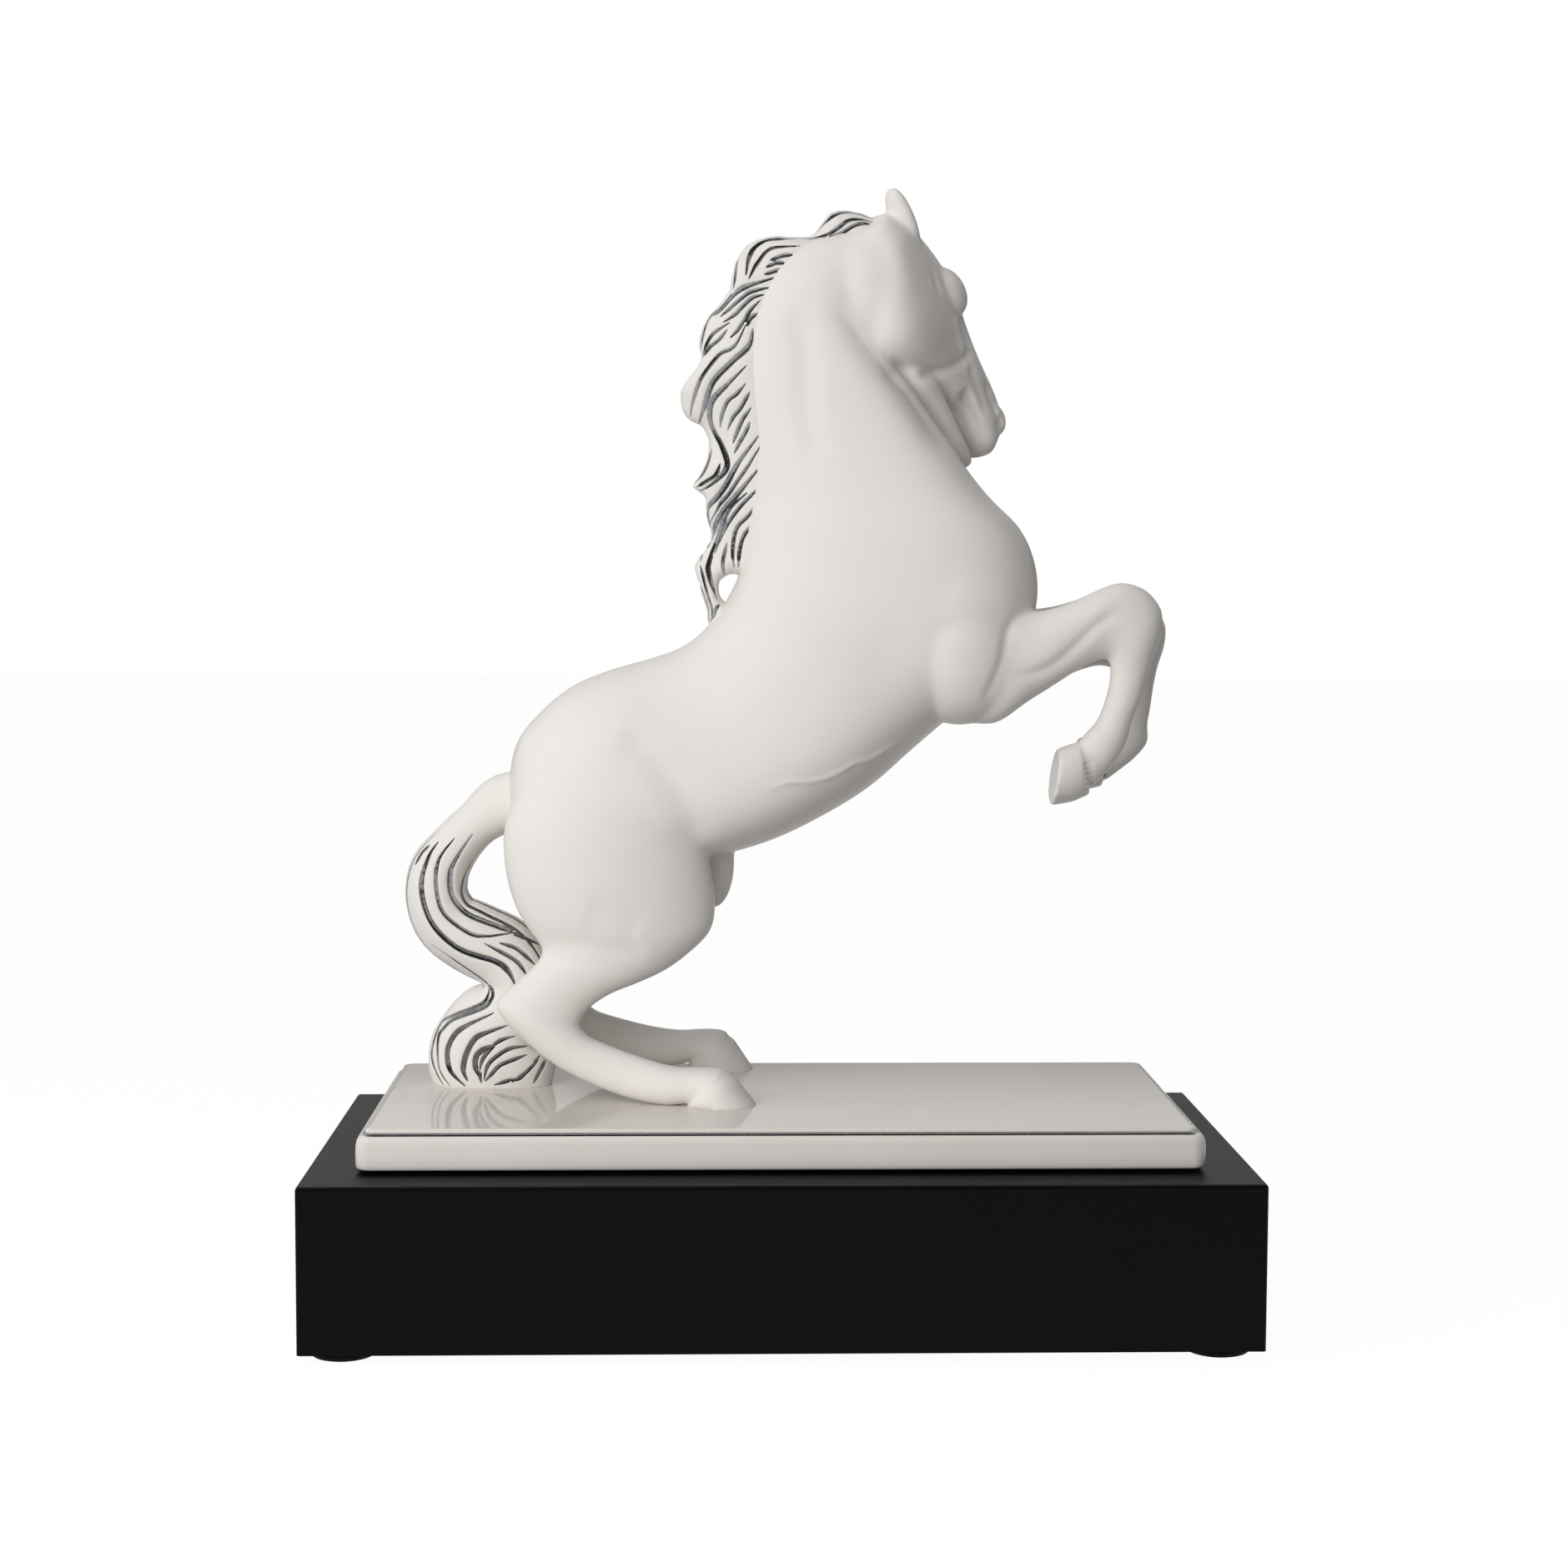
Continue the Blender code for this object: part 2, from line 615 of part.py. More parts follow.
def rounded_outline(bm, length, width, radius, height, segments=4):
    """A rectangle with round corners, as one loop of vertices."""
    verts = []
    for turn in range(4):
        along = length / 2 - radius if turn in (0, 3) else radius - length / 2
        across = width / 2 - radius if turn in (0, 1) else radius - width / 2
        for step in range(segments + 1):
            angle = math.radians(90 * (turn + step / segments))
            point = (along + radius * math.cos(angle), across + radius * math.sin(angle), height)
            verts.append(bm.verts.new(Vector(point) * MM))
    for i, vert in enumerate(verts):
        bm.edges.new((verts[i - 1], vert))
    return verts


def slab_profile():
    """Height and inset up the slab's side: foot, bulged side, shoulder, lustre groove and lip."""
    lip_foot = SLAB_HEIGHT - LIP_HEIGHT
    groove_foot = lip_foot - GROOVE_WIDTH
    shoulder_inset = LIP_INSET - SHOULDER_RADIUS
    rows = [(0.0, SLAB_DRAFT + FOOT_ROUND), (FOOT_ROUND, SLAB_DRAFT), (groove_foot * 0.5, SLAB_DRAFT * 0.25)]
    for degrees in (0, 30, 60, 90):
        angle = math.radians(degrees)
        rise = groove_foot - SHOULDER_RADIUS * (1 - math.sin(angle))
        rows.append((rise, shoulder_inset * degrees / 90 + SHOULDER_RADIUS * (1 - math.cos(angle))))
    rows.append((groove_foot + GROOVE_WIDTH / 2, LIP_INSET + GROOVE_DEPTH))
    rows.append((lip_foot, LIP_INSET))
    for degrees in (0, 45, 90):
        angle = math.radians(degrees)
        rise = SLAB_HEIGHT - LIP_ROUND * (1 - math.sin(angle))
        rows.append((rise, LIP_INSET + LIP_ROUND * (1 - math.cos(angle))))
    return rows


def slab_mesh():
    bm = bmesh.new()
    loops = []
    for height, inset in slab_profile():
        size = (SLAB_LENGTH - 2 * inset, SLAB_WIDTH - 2 * inset)
        loops.append(rounded_outline(bm, *size, SLAB_CORNER_RADIUS - inset * CORNER_TIGHTENING, height))
    ends = [ring_edges(loops[0]), ring_edges(loops[-1])]
    for first, second in zip(loops, loops[1:]):
        bmesh.ops.bridge_loops(bm, edges=ring_edges(first) + ring_edges(second))
    for end in ends:
        bmesh.ops.contextual_create(bm, geom=end)
    return mesh_from(bm, "slab")


def board_mesh(name, length, width, thickness, edge_radius=0.0, rounded=lambda edge: False):
    """A board on its back, with the chosen edges rounded."""
    bm = bmesh.new()
    size = Matrix.Diagonal((length * MM, width * MM, thickness * MM, 1.0))
    bmesh.ops.create_cube(bm, size=1.0, matrix=size)
    chosen = [edge for edge in bm.edges if rounded(edge)]
    if chosen:
        bmesh.ops.bevel(
            bm, geom=chosen, offset=edge_radius * MM, affect="EDGES", segments=3, profile=0.5, material=-1
        )
    return mesh_from(bm, name)


def top_outer(edge):
    """The four upper edges and the four corner edges of a board."""
    upper = all(vert.co.z > 0 for vert in edge.verts)
    upright = edge.verts[0].co.xy == edge.verts[1].co.xy
    return upper or upright


def side_board_mesh(name, length, height):
    """A side of the box, mitred at both ends, with its length along X and its outer face towards -Y."""
    bm = bmesh.new()
    outer = length / 2 - FIT / 2
    inner = outer - BOARD
    corners = ((-outer, 0.0), (outer, 0.0), (inner, BOARD), (-inner, BOARD))
    foot = [bm.verts.new(Vector((x, y, 0.0)) * MM) for x, y in corners]
    face = bm.faces.new(foot)
    raised = bmesh.ops.extrude_face_region(bm, geom=[face])["geom"]
    top = [item for item in raised if isinstance(item, bmesh.types.BMVert)]
    bmesh.ops.translate(bm, verts=top, vec=(0, 0, height * MM))
    return mesh_from(bm, name)


def cylinder_mesh(name, diameter, height, edge_radius=0.0, segments=24):
    """A disc or pin that stands on its own origin, with its lower edge rounded."""
    bm = bmesh.new()
    lift = Matrix.Translation((0, 0, height / 2 * MM))
    radius = diameter / 2 * MM
    bmesh.ops.create_cone(
        bm, cap_ends=True, segments=segments, radius1=radius, radius2=radius, depth=height * MM, matrix=lift
    )
    if edge_radius:
        lower = [edge for edge in bm.edges if all(vert.co.z < height / 2 * MM for vert in edge.verts)]
        bmesh.ops.bevel(
            bm, geom=lower, offset=edge_radius * MM, affect="EDGES", segments=3, profile=0.5, material=-1
        )
    return mesh_from(bm, name)


def cut(obj, cutter):
    made = obj.modifiers.new("cut_" + cutter.name, "BOOLEAN")
    made.object = cutter


def add_plinth(lacquer):
    """The box: a top board over four mitred sides, with a bottom board let in and a block in each corner."""
    side_height = PLINTH_HEIGHT - BOARD - FIT
    top = board_mesh("plinth_top", PLINTH_LENGTH, PLINTH_WIDTH, BOARD, PLINTH_EDGE_RADIUS, top_outer)
    add_object("plinth_top", top, lacquer, (0, 0, PLINTH_TOP_Z - BOARD / 2))
    long_side = side_board_mesh("plinth_long_side", PLINTH_LENGTH, side_height)
    short_side = side_board_mesh("plinth_short_side", PLINTH_WIDTH, side_height)
    sides = (
        ("plinth_front", long_side, (0, -PLINTH_WIDTH / 2), 0),
        ("plinth_right_end", short_side, (PLINTH_LENGTH / 2, 0), 90),
        ("plinth_back", long_side, (0, PLINTH_WIDTH / 2), 180),
        ("plinth_left_end", short_side, (-PLINTH_LENGTH / 2, 0), 270),
    )
    for name, mesh, (x, y), turn in sides:
        side = add_object(name, mesh, lacquer, (x, y, PLINTH_BOTTOM_Z))
        side.rotation_euler.z = math.radians(turn)
    inner_length = PLINTH_LENGTH - 2 * (BOARD + FIT)
    inner_width = PLINTH_WIDTH - 2 * (BOARD + FIT)
    bottom = board_mesh("plinth_bottom", inner_length, inner_width, BOTTOM_BOARD)
    return add_object("plinth_bottom", bottom, lacquer, (0, 0, PLINTH_BOTTOM_Z + BOTTOM_BOARD / 2))


def add_feet(bottom, rubber, steel, pine):
    """Four rubber feet, each screwed through the bottom board into its corner block."""
    block_foot = PLINTH_BOTTOM_Z + BOTTOM_BOARD + FIT
    block_height = PLINTH_TOP_Z - BOARD - FIT - block_foot
    block = board_mesh("corner_block", CORNER_BLOCK, CORNER_BLOCK, block_height)
    foot = cylinder_mesh("foot", FOOT_DIAMETER, FOOT_HEIGHT - FIT, FOOT_EDGE_RADIUS)
    recess = cylinder_mesh("recess", HEAD_RECESS_DIAMETER, HEAD_RECESS_DEPTH + OVERCUT, segments=16)
    passage = cylinder_mesh("passage", SCREW_DIAMETER + 2 * FIT, SCREW_LENGTH + 2 * OVERCUT, segments=12)
    screw = screw_mesh()
    for end, x in (("left", -PLINTH_LENGTH / 2 + FOOT_INSET), ("right", PLINTH_LENGTH / 2 - FOOT_INSET)):
        for side, y in (("front", -PLINTH_WIDTH / 2 + FOOT_INSET), ("back", PLINTH_WIDTH / 2 - FOOT_INSET)):
            place = side + "_" + end
            x_block = math.copysign(PLINTH_LENGTH / 2 - BOARD - FIT - CORNER_BLOCK / 2, x)
            y_block = math.copysign(PLINTH_WIDTH / 2 - BOARD - FIT - CORNER_BLOCK / 2, y)
            hole = add_guide("hole_" + place, passage, (x, y, HEAD_RECESS_DEPTH))
            wide = add_guide("recess_" + place, recess, (x, y, -OVERCUT))
            z_block = block_foot + block_height / 2
            corner = add_object("corner_block_" + place, block, pine, (x_block, y_block, z_block))
            pad = add_object("foot_" + place, foot, rubber, (x, y, 0))
            for piece in (corner, pad, bottom):
                cut(piece, hole)
            cut(pad, wide)
            add_object("foot_screw_" + place, screw, steel, (x, y, HEAD_RECESS_DEPTH - FIT))


def screw_mesh():
    """A pan-head screw, head down, whose head stops under the foot's web."""
    bm = bmesh.new()
    head, shank = SCREW_HEAD_DIAMETER / 2, SCREW_DIAMETER / 2
    profile = (
        (0, -SCREW_HEAD_HEIGHT),
        (SCREW_HEAD_FACE / 2, -SCREW_HEAD_HEIGHT),
        (head, -SCREW_HEAD_EDGE),
        (head, 0),
        (shank, 0),
        (shank, SCREW_LENGTH - SCREW_POINT),
        (0, SCREW_LENGTH),
    )
    verts = [bm.verts.new(Vector((x, 0, z)) * MM) for x, z in profile]
    edges = [bm.edges.new(pair) for pair in zip(verts, verts[1:])]
    bmesh.ops.spin(bm, geom=verts + edges, axis=(0, 0, 1), cent=(0, 0, 0), steps=12, angle=math.tau, use_merge=True)
    bmesh.ops.remove_doubles(bm, verts=bm.verts, dist=1e-6)
    return mesh_from(bm, "foot_screw")


def add_pads(silicone):
    pad = cylinder_mesh("bedding_pad", PAD_DIAMETER, PAD_THICKNESS - 2 * FIT, segments=24)
    for end, x in (("left", -SLAB_LENGTH / 2 + PAD_INSET), ("right", SLAB_LENGTH / 2 - PAD_INSET)):
        for side, y in (("front", -SLAB_WIDTH / 2 + PAD_INSET), ("back", SLAB_WIDTH / 2 - PAD_INSET)):
            add_object("bedding_pad_" + side + "_" + end, pad, silicone, (x, y + SLAB_OFFSET_Y, PLINTH_TOP_Z + FIT))


clear_scene()
porcelain = material("porcelain_glaze", (0.78, 0.745, 0.705), 0.15)
lacquer = material("black_lacquer", (0.006, 0.006, 0.006), 0.35)
pine = material("pine", (0.55, 0.38, 0.2), 0.7)
rubber = material("rubber", (0.01, 0.01, 0.01), 0.8)
silicone = material("silicone", (0.5, 0.5, 0.5), 0.5)
steel = material("zinc_plated_steel", (0.6, 0.6, 0.58), 0.35, 1.0)

figure_place = (0.0, FIGURE_OFFSET_Y, SLAB_TOP_Z + FIT)
figure_skin = fused(figure_form(), "figure", VOXEL, SMOOTHING_PASSES, FIGURE_TRIANGLES)
hair_clearance = add_guide("hair_clearance", figure_skin, figure_place)
grow = hair_clearance.modifiers.new("grow", "DISPLACE")
grow.strength = SLIP_SEAM * MM
grow.mid_level = 0.0
add_castings(figure_skin, figure_place, porcelain)
add_hair("mane", mane_form(), MANE_TRIANGLES, hair_clearance, figure_place, porcelain)
add_hair("tail", tail_form(), TAIL_TRIANGLES, hair_clearance, figure_place, porcelain)
add_object("slab", slab_mesh(), porcelain, (0, SLAB_OFFSET_Y, SLAB_BOTTOM_Z))
add_pads(silicone)
add_feet(add_plinth(lacquer), rubber, steel, pine)
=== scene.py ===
"""Looks of the porcelain horse figurine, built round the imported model.

The sections follow the object as it is put together: feet, screws and blocks, plinth, bedding, slab, horse,
mane and tail, then the studio. Lengths are millimetres until a piece is set in its place. The figure's own
frame has x towards the horse's chest, y towards the horse's left and z up from the slab.
"""

import math

import bmesh
import bpy
import numpy as np
from mathutils import Matrix, Vector
from mathutils.bvhtree import BVHTree
from mathutils.kdtree import KDTree


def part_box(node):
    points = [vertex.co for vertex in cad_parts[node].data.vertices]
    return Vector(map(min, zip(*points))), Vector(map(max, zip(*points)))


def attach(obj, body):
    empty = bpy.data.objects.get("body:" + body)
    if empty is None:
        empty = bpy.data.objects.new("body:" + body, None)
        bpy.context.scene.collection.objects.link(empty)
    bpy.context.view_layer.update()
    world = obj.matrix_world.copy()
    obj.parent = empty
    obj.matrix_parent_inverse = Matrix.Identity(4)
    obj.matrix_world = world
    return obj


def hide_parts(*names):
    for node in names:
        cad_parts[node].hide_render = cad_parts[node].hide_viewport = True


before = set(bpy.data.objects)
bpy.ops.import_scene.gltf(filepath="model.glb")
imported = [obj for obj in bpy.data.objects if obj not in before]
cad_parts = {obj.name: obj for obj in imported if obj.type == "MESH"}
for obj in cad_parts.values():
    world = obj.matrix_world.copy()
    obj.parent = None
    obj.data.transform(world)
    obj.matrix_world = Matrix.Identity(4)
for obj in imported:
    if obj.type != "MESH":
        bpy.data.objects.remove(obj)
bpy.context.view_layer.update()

# Feet: discs of moulded rubber with a domed underside, screwed through the bottom board from below. They are
# matt black, with a recess for the screw's head.

MM = 0.001
CORNERS = ("front_left", "back_left", "front_right", "back_right")
FOOT_HEIGHT = 3.9
FOOT_SEGMENTS = 64
# Radius and height of the domed underside, from the recess to the rim, before it is fitted to the height.
FOOT_DOME = 3.1
FOOT_PROFILE = (
    (3.9, 0.0), (3.9, 2.4), (4.4, 2.9), (5.2, FOOT_DOME), (8.4, 2.8), (10.4, 2.3), (11.4, 1.1), (11.6, 0.0),
)
# Points closer than this, in metres, are one point.
MERGE_DISTANCE = 1e-6


def hexed(text):
    """An sRGB colour written as hex, in the linear values that a shader takes."""
    parts = [int(text[i : i + 2], 16) / 255 for i in (0, 2, 4)]
    return (*(c / 12.92 if c <= 0.04045 else ((c + 0.055) / 1.055) ** 2.4 for c in parts), 1.0)


def add_node(tree, kind, settings=None, sockets=None):
    """Adds a node with its settings. Each socket gets a value, or the output that feeds it."""
    node = tree.nodes.new(kind)
    for name, value in (settings or {}).items():
        setattr(node, name, value)
    for socket, value in (sockets or {}).items():
        if isinstance(value, bpy.types.NodeSocket):
            tree.links.new(value, node.inputs[socket])
        else:
            node.inputs[socket].default_value = value
    return node


def new_finish(name):
    """An empty material, and the place of a point in millimetres for its patterns."""
    made = bpy.data.materials.new(name)
    made.use_nodes = True
    tree = made.node_tree
    tree.nodes.clear()
    place = add_node(tree, "ShaderNodeTexCoord").outputs["Object"]
    sockets = {"Vector": place, "Scale": 1 / MM}
    in_mm = add_node(tree, "ShaderNodeVectorMath", {"operation": "SCALE"}, sockets)
    return made, tree, in_mm.outputs["Vector"]


def close_finish(tree, sockets, kind="ShaderNodeBsdfPrincipled"):
    """The shader with its sockets, as the surface of the finish."""
    shader = add_node(tree, kind, None, sockets)
    add_node(tree, "ShaderNodeOutputMaterial", None, {"Surface": shader.outputs[0]})


def noise(tree, place, grain, detail=3.0):
    """A noise whose lumps are about as wide as the grain in millimetres."""
    sockets = {"Vector": place, "Scale": 1 / grain, "Detail": detail}
    return add_node(tree, "ShaderNodeTexNoise", None, sockets).outputs["Fac"]


def bumped(tree, height, strength, depth):
    """The normal over a pattern that is so many millimetres deep."""
    sockets = {"Height": height, "Strength": strength, "Distance": depth * MM}
    return add_node(tree, "ShaderNodeBump", None, sockets).outputs["Normal"]


def mixed(tree, factor, first, second, kind="RGBA"):
    """Between two colours, each written as hex or an output, or between two numbers of kind FLOAT."""
    first, second = (hexed(side) if isinstance(side, str) else side for side in (first, second))
    sockets = {"Factor": factor, "A": first, "B": second}
    return add_node(tree, "ShaderNodeMix", {"data_type": kind}, sockets).outputs["Result"]


def ranged(tree, value, low, high, start=0.0, end=1.0, rise="LINEAR"):
    """Runs from low to high while the value runs from start to end."""
    sockets = {"Value": value, "From Min": start, "From Max": end, "To Min": low, "To Max": high}
    return add_node(tree, "ShaderNodeMapRange", {"interpolation_type": rise}, sockets).outputs["Result"]


def mesh_from(bm, name):
    bmesh.ops.recalc_face_normals(bm, faces=bm.faces)
    mesh = bpy.data.meshes.new(name)
    bm.to_mesh(mesh)
    bm.free()
    return mesh


def in_scene(name, data):
    """A new object with that data, in the scene."""
    made = bpy.data.objects.new(name, data)
    bpy.context.scene.collection.objects.link(made)
    return made


def add_piece(name, mesh, finishes, smooth_angle=None):
    """A finished piece, whose place is in its mesh."""
    made = in_scene(name, mesh)
    for finish in finishes:
        mesh.materials.append(finish)
    mesh.shade_smooth()
    if smooth_angle:
        mesh.set_sharp_from_angle(angle=math.radians(smooth_angle))
    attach(made, "root")
    return made


# Moulded rubber: matt and slightly grey where it catches the light, with the fine spark texture of the mould.
moulded_rubber, tree, place = new_finish("moulded_rubber")
spark = bumped(tree, noise(tree, place, 0.4), 0.3, 0.05)
sockets = {"Base Color": hexed("0c0c0c"), "Specular IOR Level": 0.1, "Roughness": 0.8, "Normal": spark}
close_finish(tree, sockets)

bm = bmesh.new()
for corner in CORNERS:
    low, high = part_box("foot_" + corner)
    heights = [(r, FOOT_HEIGHT - h * FOOT_HEIGHT / FOOT_DOME) for r, h in FOOT_PROFILE]
    profile = [bm.verts.new((r * MM, 0.0, z * MM)) for r, z in heights]
    geometry = profile + [bm.edges.new(pair) for pair in zip(profile, profile[1:])]
    turn = {"axis": (0, 0, 1), "cent": (0, 0, 0), "steps": FOOT_SEGMENTS, "angle": math.tau}
    bmesh.ops.spin(bm, geom=geometry, use_merge=True, **turn)
    disc = [vert for vert in bm.verts if not vert.tag]
    bmesh.ops.translate(bm, verts=disc, vec=((low.x + high.x) / 2, (low.y + high.y) / 2, 0))
    for vert in disc:
        vert.tag = True
bmesh.ops.remove_doubles(bm, verts=bm.verts, dist=MERGE_DISTANCE)
rubber_feet = add_piece("rubber_feet", mesh_from(bm, "rubber_feet"), [moulded_rubber], 50)
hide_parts("foot_front_left", "foot_front_right", "foot_back_left", "foot_back_right")

# Screws and corner blocks: zinc-plated pan heads seen in the feet's recesses, biting into blocks of planed
# pine that are glued inside the box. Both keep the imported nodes' shapes.


def finish_node(name, finish):
    """Gives its finish to a solid that shows as it is packed."""
    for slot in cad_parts[name].material_slots:
        slot.material = finish


# Zinc plating: a grey metal with a faint cloudiness from the bath.
zinc_plated_steel, tree, place = new_finish("zinc_plated_steel")
tone = mixed(tree, noise(tree, place, 1.5), "b4b4b0", "c8c8c4")
close_finish(tree, {"Metallic": 1.0, "Roughness": 0.32, "Base Color": tone})

# Planed pine: pale earlywood with darker rings about 3 mm apart along the block.
planed_pine, tree, place = new_finish("planed_pine")
sockets = {"Vector": place, "Scale": 0.105, "Distortion": 2.5, "Detail": 2.0}
rings = add_node(tree, "ShaderNodeTexWave", {"bands_direction": "X"}, sockets).outputs["Fac"]
close_finish(tree, {"Roughness": 0.7, "Base Color": mixed(tree, rings, "dcbf92", "b98b58")})

for corner in CORNERS:
    finish_node("foot_screw_" + corner, zinc_plated_steel)
    finish_node("corner_block_" + corner, planed_pine)

# Plinth: a hollow box of boards, mitred and glued, filled and sprayed with black lacquer, so no joint shows.
# Its edges are eased by sanding before the last coat. The bottom board is let in between the sides.

BOARD = 9.0
EASED_EDGE = 1.3
EASED_EDGE_STEPS = 5
# The flat of each board keeps its own normals inside a narrow rim. Smaller faces, in square metres, are parts
# of the edges.
FLAT_RIM = 0.5
BOARD_AREA = 0.002
plinth_low = Vector(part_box("plinth_front")[0])
plinth_high = Vector((*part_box("plinth_back")[1].xy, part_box("plinth_top")[1].z))

# Sprayed lacquer: warm black, satin, with the shallow ripple of a sprayed coat.
sprayed_black_lacquer, tree, place = new_finish("sprayed_black_lacquer")
ripple = bumped(tree, noise(tree, place, 2.2, 2.0), 0.25, 0.02)
haze = ranged(tree, noise(tree, place, 40.0, 4.0), 0.38, 0.48)
sockets = {"Base Color": hexed("0b0908"), "Specular IOR Level": 0.08, "Roughness": haze, "Normal": ripple}
close_finish(tree, sockets)

bm = bmesh.new()
size = plinth_high - plinth_low
middle = (plinth_high + plinth_low) / 2
bmesh.ops.create_cube(bm, size=1.0, matrix=Matrix.Translation(middle) @ Matrix.Diagonal((*size, 1.0)))
underside = min(bm.faces, key=lambda face: face.calc_center_median().z)
outer_edges = [edge for edge in bm.edges if edge not in set(underside.edges)]
easing = {"offset": EASED_EDGE * MM, "segments": EASED_EDGE_STEPS, "profile": 0.5, "material": -1}
bmesh.ops.bevel(bm, geom=outer_edges, affect="EDGES", **easing)
boards = [face for face in bm.faces if face.calc_area() > BOARD_AREA]
bmesh.ops.inset_individual(bm, faces=boards, thickness=FLAT_RIM * MM, use_even_offset=True)
underside = min(bm.faces, key=lambda face: (round(face.calc_center_median().z, 6), -face.calc_area()))
bmesh.ops.inset_region(bm, faces=[underside], thickness=(BOARD - FLAT_RIM) * MM, use_even_offset=True)
cavity_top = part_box("plinth_top")[0].z
raised = bmesh.ops.extrude_face_region(bm, geom=[underside])["geom"]
bmesh.ops.delete(bm, geom=[underside], context="FACES")
ceiling = [item for item in raised if isinstance(item, bmesh.types.BMVert)]
bmesh.ops.translate(bm, verts=ceiling, vec=(0, 0, cavity_top - plinth_low.z))
plinth = add_piece("lacquered_plinth", mesh_from(bm, "lacquered_plinth"), [sprayed_black_lacquer], 30)
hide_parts("plinth_top", "plinth_front", "plinth_back", "plinth_left_end", "plinth_right_end")
finish_node("plinth_bottom", sprayed_black_lacquer)

# Bedding: four beads of clear silicone between the lacquer and the slab. They are hidden but for a sliver of
# shadow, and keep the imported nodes' shapes.

# Cured silicone: milky and soft.
cured_silicone, tree, place = new_finish("cured_silicone")
tone = mixed(tree, noise(tree, place, 4.0), "b9b9b6", "cfcfcb")
close_finish(tree, {"Roughness": 0.45, "Base Color": tone})
for corner in CORNERS:
    finish_node("bedding_pad_" + corner, cured_silicone)

# Slab: one slip-cast block of porcelain with a drafted, slightly bulged side. A groove runs under its raised
# lip and is filled with silver lustre, painted by brush and fired on.

SLAB_CORNER_RADIUS = 5.0
SLAB_CORNER_STEPS = 12
# Height up the side and inset from the widest outline: from the foot to the groove, the groove and the lip.
SLAB_SIDE = (
    (0.0, 1.0), (0.25, 0.55), (0.8, 0.2), (2.0, 0.1), (5.0, 0.1), (8.0, 0.25), (9.6, 0.5), (10.6, 1.0),
    (11.1, 1.6), (11.3, 2.3),
)
SLAB_GROOVE = ((11.3, 2.3), (11.35, 2.9), (11.5, 3.6), (12.1, 3.65), (12.25, 3.3))
SLAB_LIP = ((12.25, 3.3), (12.9, 3.3), (13.3, 3.5), (13.5, 4.0))
# A flat face keeps its own normals inside this rim, however the edge round it is shaded.
CAP_RIM = 1.0
PORCELAIN_LIGHT = "ede9e4"
PORCELAIN_WARM = "e8e3dd"
# The lustre's greys are kept dark, partly as painted darkening in place of darker reflections.
LUSTRE_DARK = "646466"
LUSTRE_PALE = "b6b6b8"
# How wide the casting's paler and warmer places are.
CAST_GRAIN = 35.0


# Glazed porcelain: a warm white body under a clear glaze. The glaze is smooth but not flat, so its gloss
# wavers, and the body shows through a little whiter or warmer from place to place.
def porcelain_glaze(name, light, warm, coat):
    """The glaze over its body, in two tones, with the share of the surface that is mirror-smooth."""
    made, tree, place = new_finish(name)
    flow = noise(tree, place, 9.0, 2.0)
    sockets = {
        "Base Color": mixed(tree, noise(tree, place, CAST_GRAIN), light, warm),
        "Roughness": ranged(tree, flow, 0.4, 0.5),
        "Normal": bumped(tree, flow, 0.35, 0.06),
        "Specular IOR Level": 0.3,
        "Coat Weight": coat,
        "Coat Roughness": 0.06,
    }
    close_finish(tree, sockets)
    return made


glazed_porcelain = porcelain_glaze("glazed_porcelain", PORCELAIN_LIGHT, PORCELAIN_WARM, 0.08)
# The slab lies flat in the kiln, so its glaze pools and comes out glossier. Its two tones are painted a
# little darker than the horse's, as painted shade over the slab.
slab_glaze_painted_shade = porcelain_glaze("slab_glaze_porcelain_painted_shade", "e4dfd9", "ded8d1", 0.6)

# Silver lustre: a film of metal fired on the glaze, brushed unevenly so its gloss changes. Its grey is darker
# than fired silver: partly the lustre's own tone, partly painted darkening in place of the darker reflections
# it shows.
silver_lustre, tree, place = new_finish("silver_lustre")
brushed = noise(tree, place, 3.0, 5.0)
tone = mixed(tree, brushed, LUSTRE_DARK, LUSTRE_PALE)
close_finish(tree, {"Metallic": 1.0, "Base Color": tone, "Roughness": ranged(tree, brushed, 0.1, 0.4)})


def ring_edges(verts):
    found = set(verts)
    return list({edge for vert in verts for edge in vert.link_edges if found.issuperset(edge.verts)})


def rounded_outline(bm, length, width, radius, centre):
    """A rectangle with round corners, as one loop of vertices."""
    verts = []
    for turn in range(4):
        along = length / 2 - radius if turn in (0, 3) else radius - length / 2
        across = width / 2 - radius if turn in (0, 1) else radius - width / 2
        for step in range(SLAB_CORNER_STEPS + 1):
            angle = math.radians(90 * (turn + step / SLAB_CORNER_STEPS))
            offset = Vector((along + radius * math.cos(angle), across + radius * math.sin(angle), 0.0))
            verts.append(bm.verts.new((Vector(centre) + offset) * MM))
    for i, vert in enumerate(verts):
        bm.edges.new((verts[i - 1], vert))
    return verts


low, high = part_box("slab")
slab_length, slab_width = (high.x - low.x) / MM, (high.y - low.y) / MM
slab_y = (high.y + low.y) / 2 / MM
slab_bottom, slab_top = low.z / MM, high.z / MM
bm = bmesh.new()
loops = []
for part, rows in enumerate((SLAB_SIDE, SLAB_GROOVE[1:], SLAB_LIP[1:])):
    for height, inset in rows:
        outline = (slab_length - 2 * inset, slab_width - 2 * inset, SLAB_CORNER_RADIUS - inset * 0.5)
        loops.append((part, rounded_outline(bm, *outline, (0.0, slab_y, slab_bottom + height))))
for (_, first), (part, second) in zip(loops, loops[1:]):
    made = bmesh.ops.bridge_loops(bm, edges=ring_edges(first) + ring_edges(second))["faces"]
    for face in made:
        face.material_index = 1 if part == 1 else 0
for end in (loops[0][1], loops[-1][1]):
    cap = bmesh.ops.contextual_create(bm, geom=ring_edges(end))["faces"]
    bmesh.ops.inset_region(bm, faces=cap, thickness=CAP_RIM * MM, use_even_offset=True)
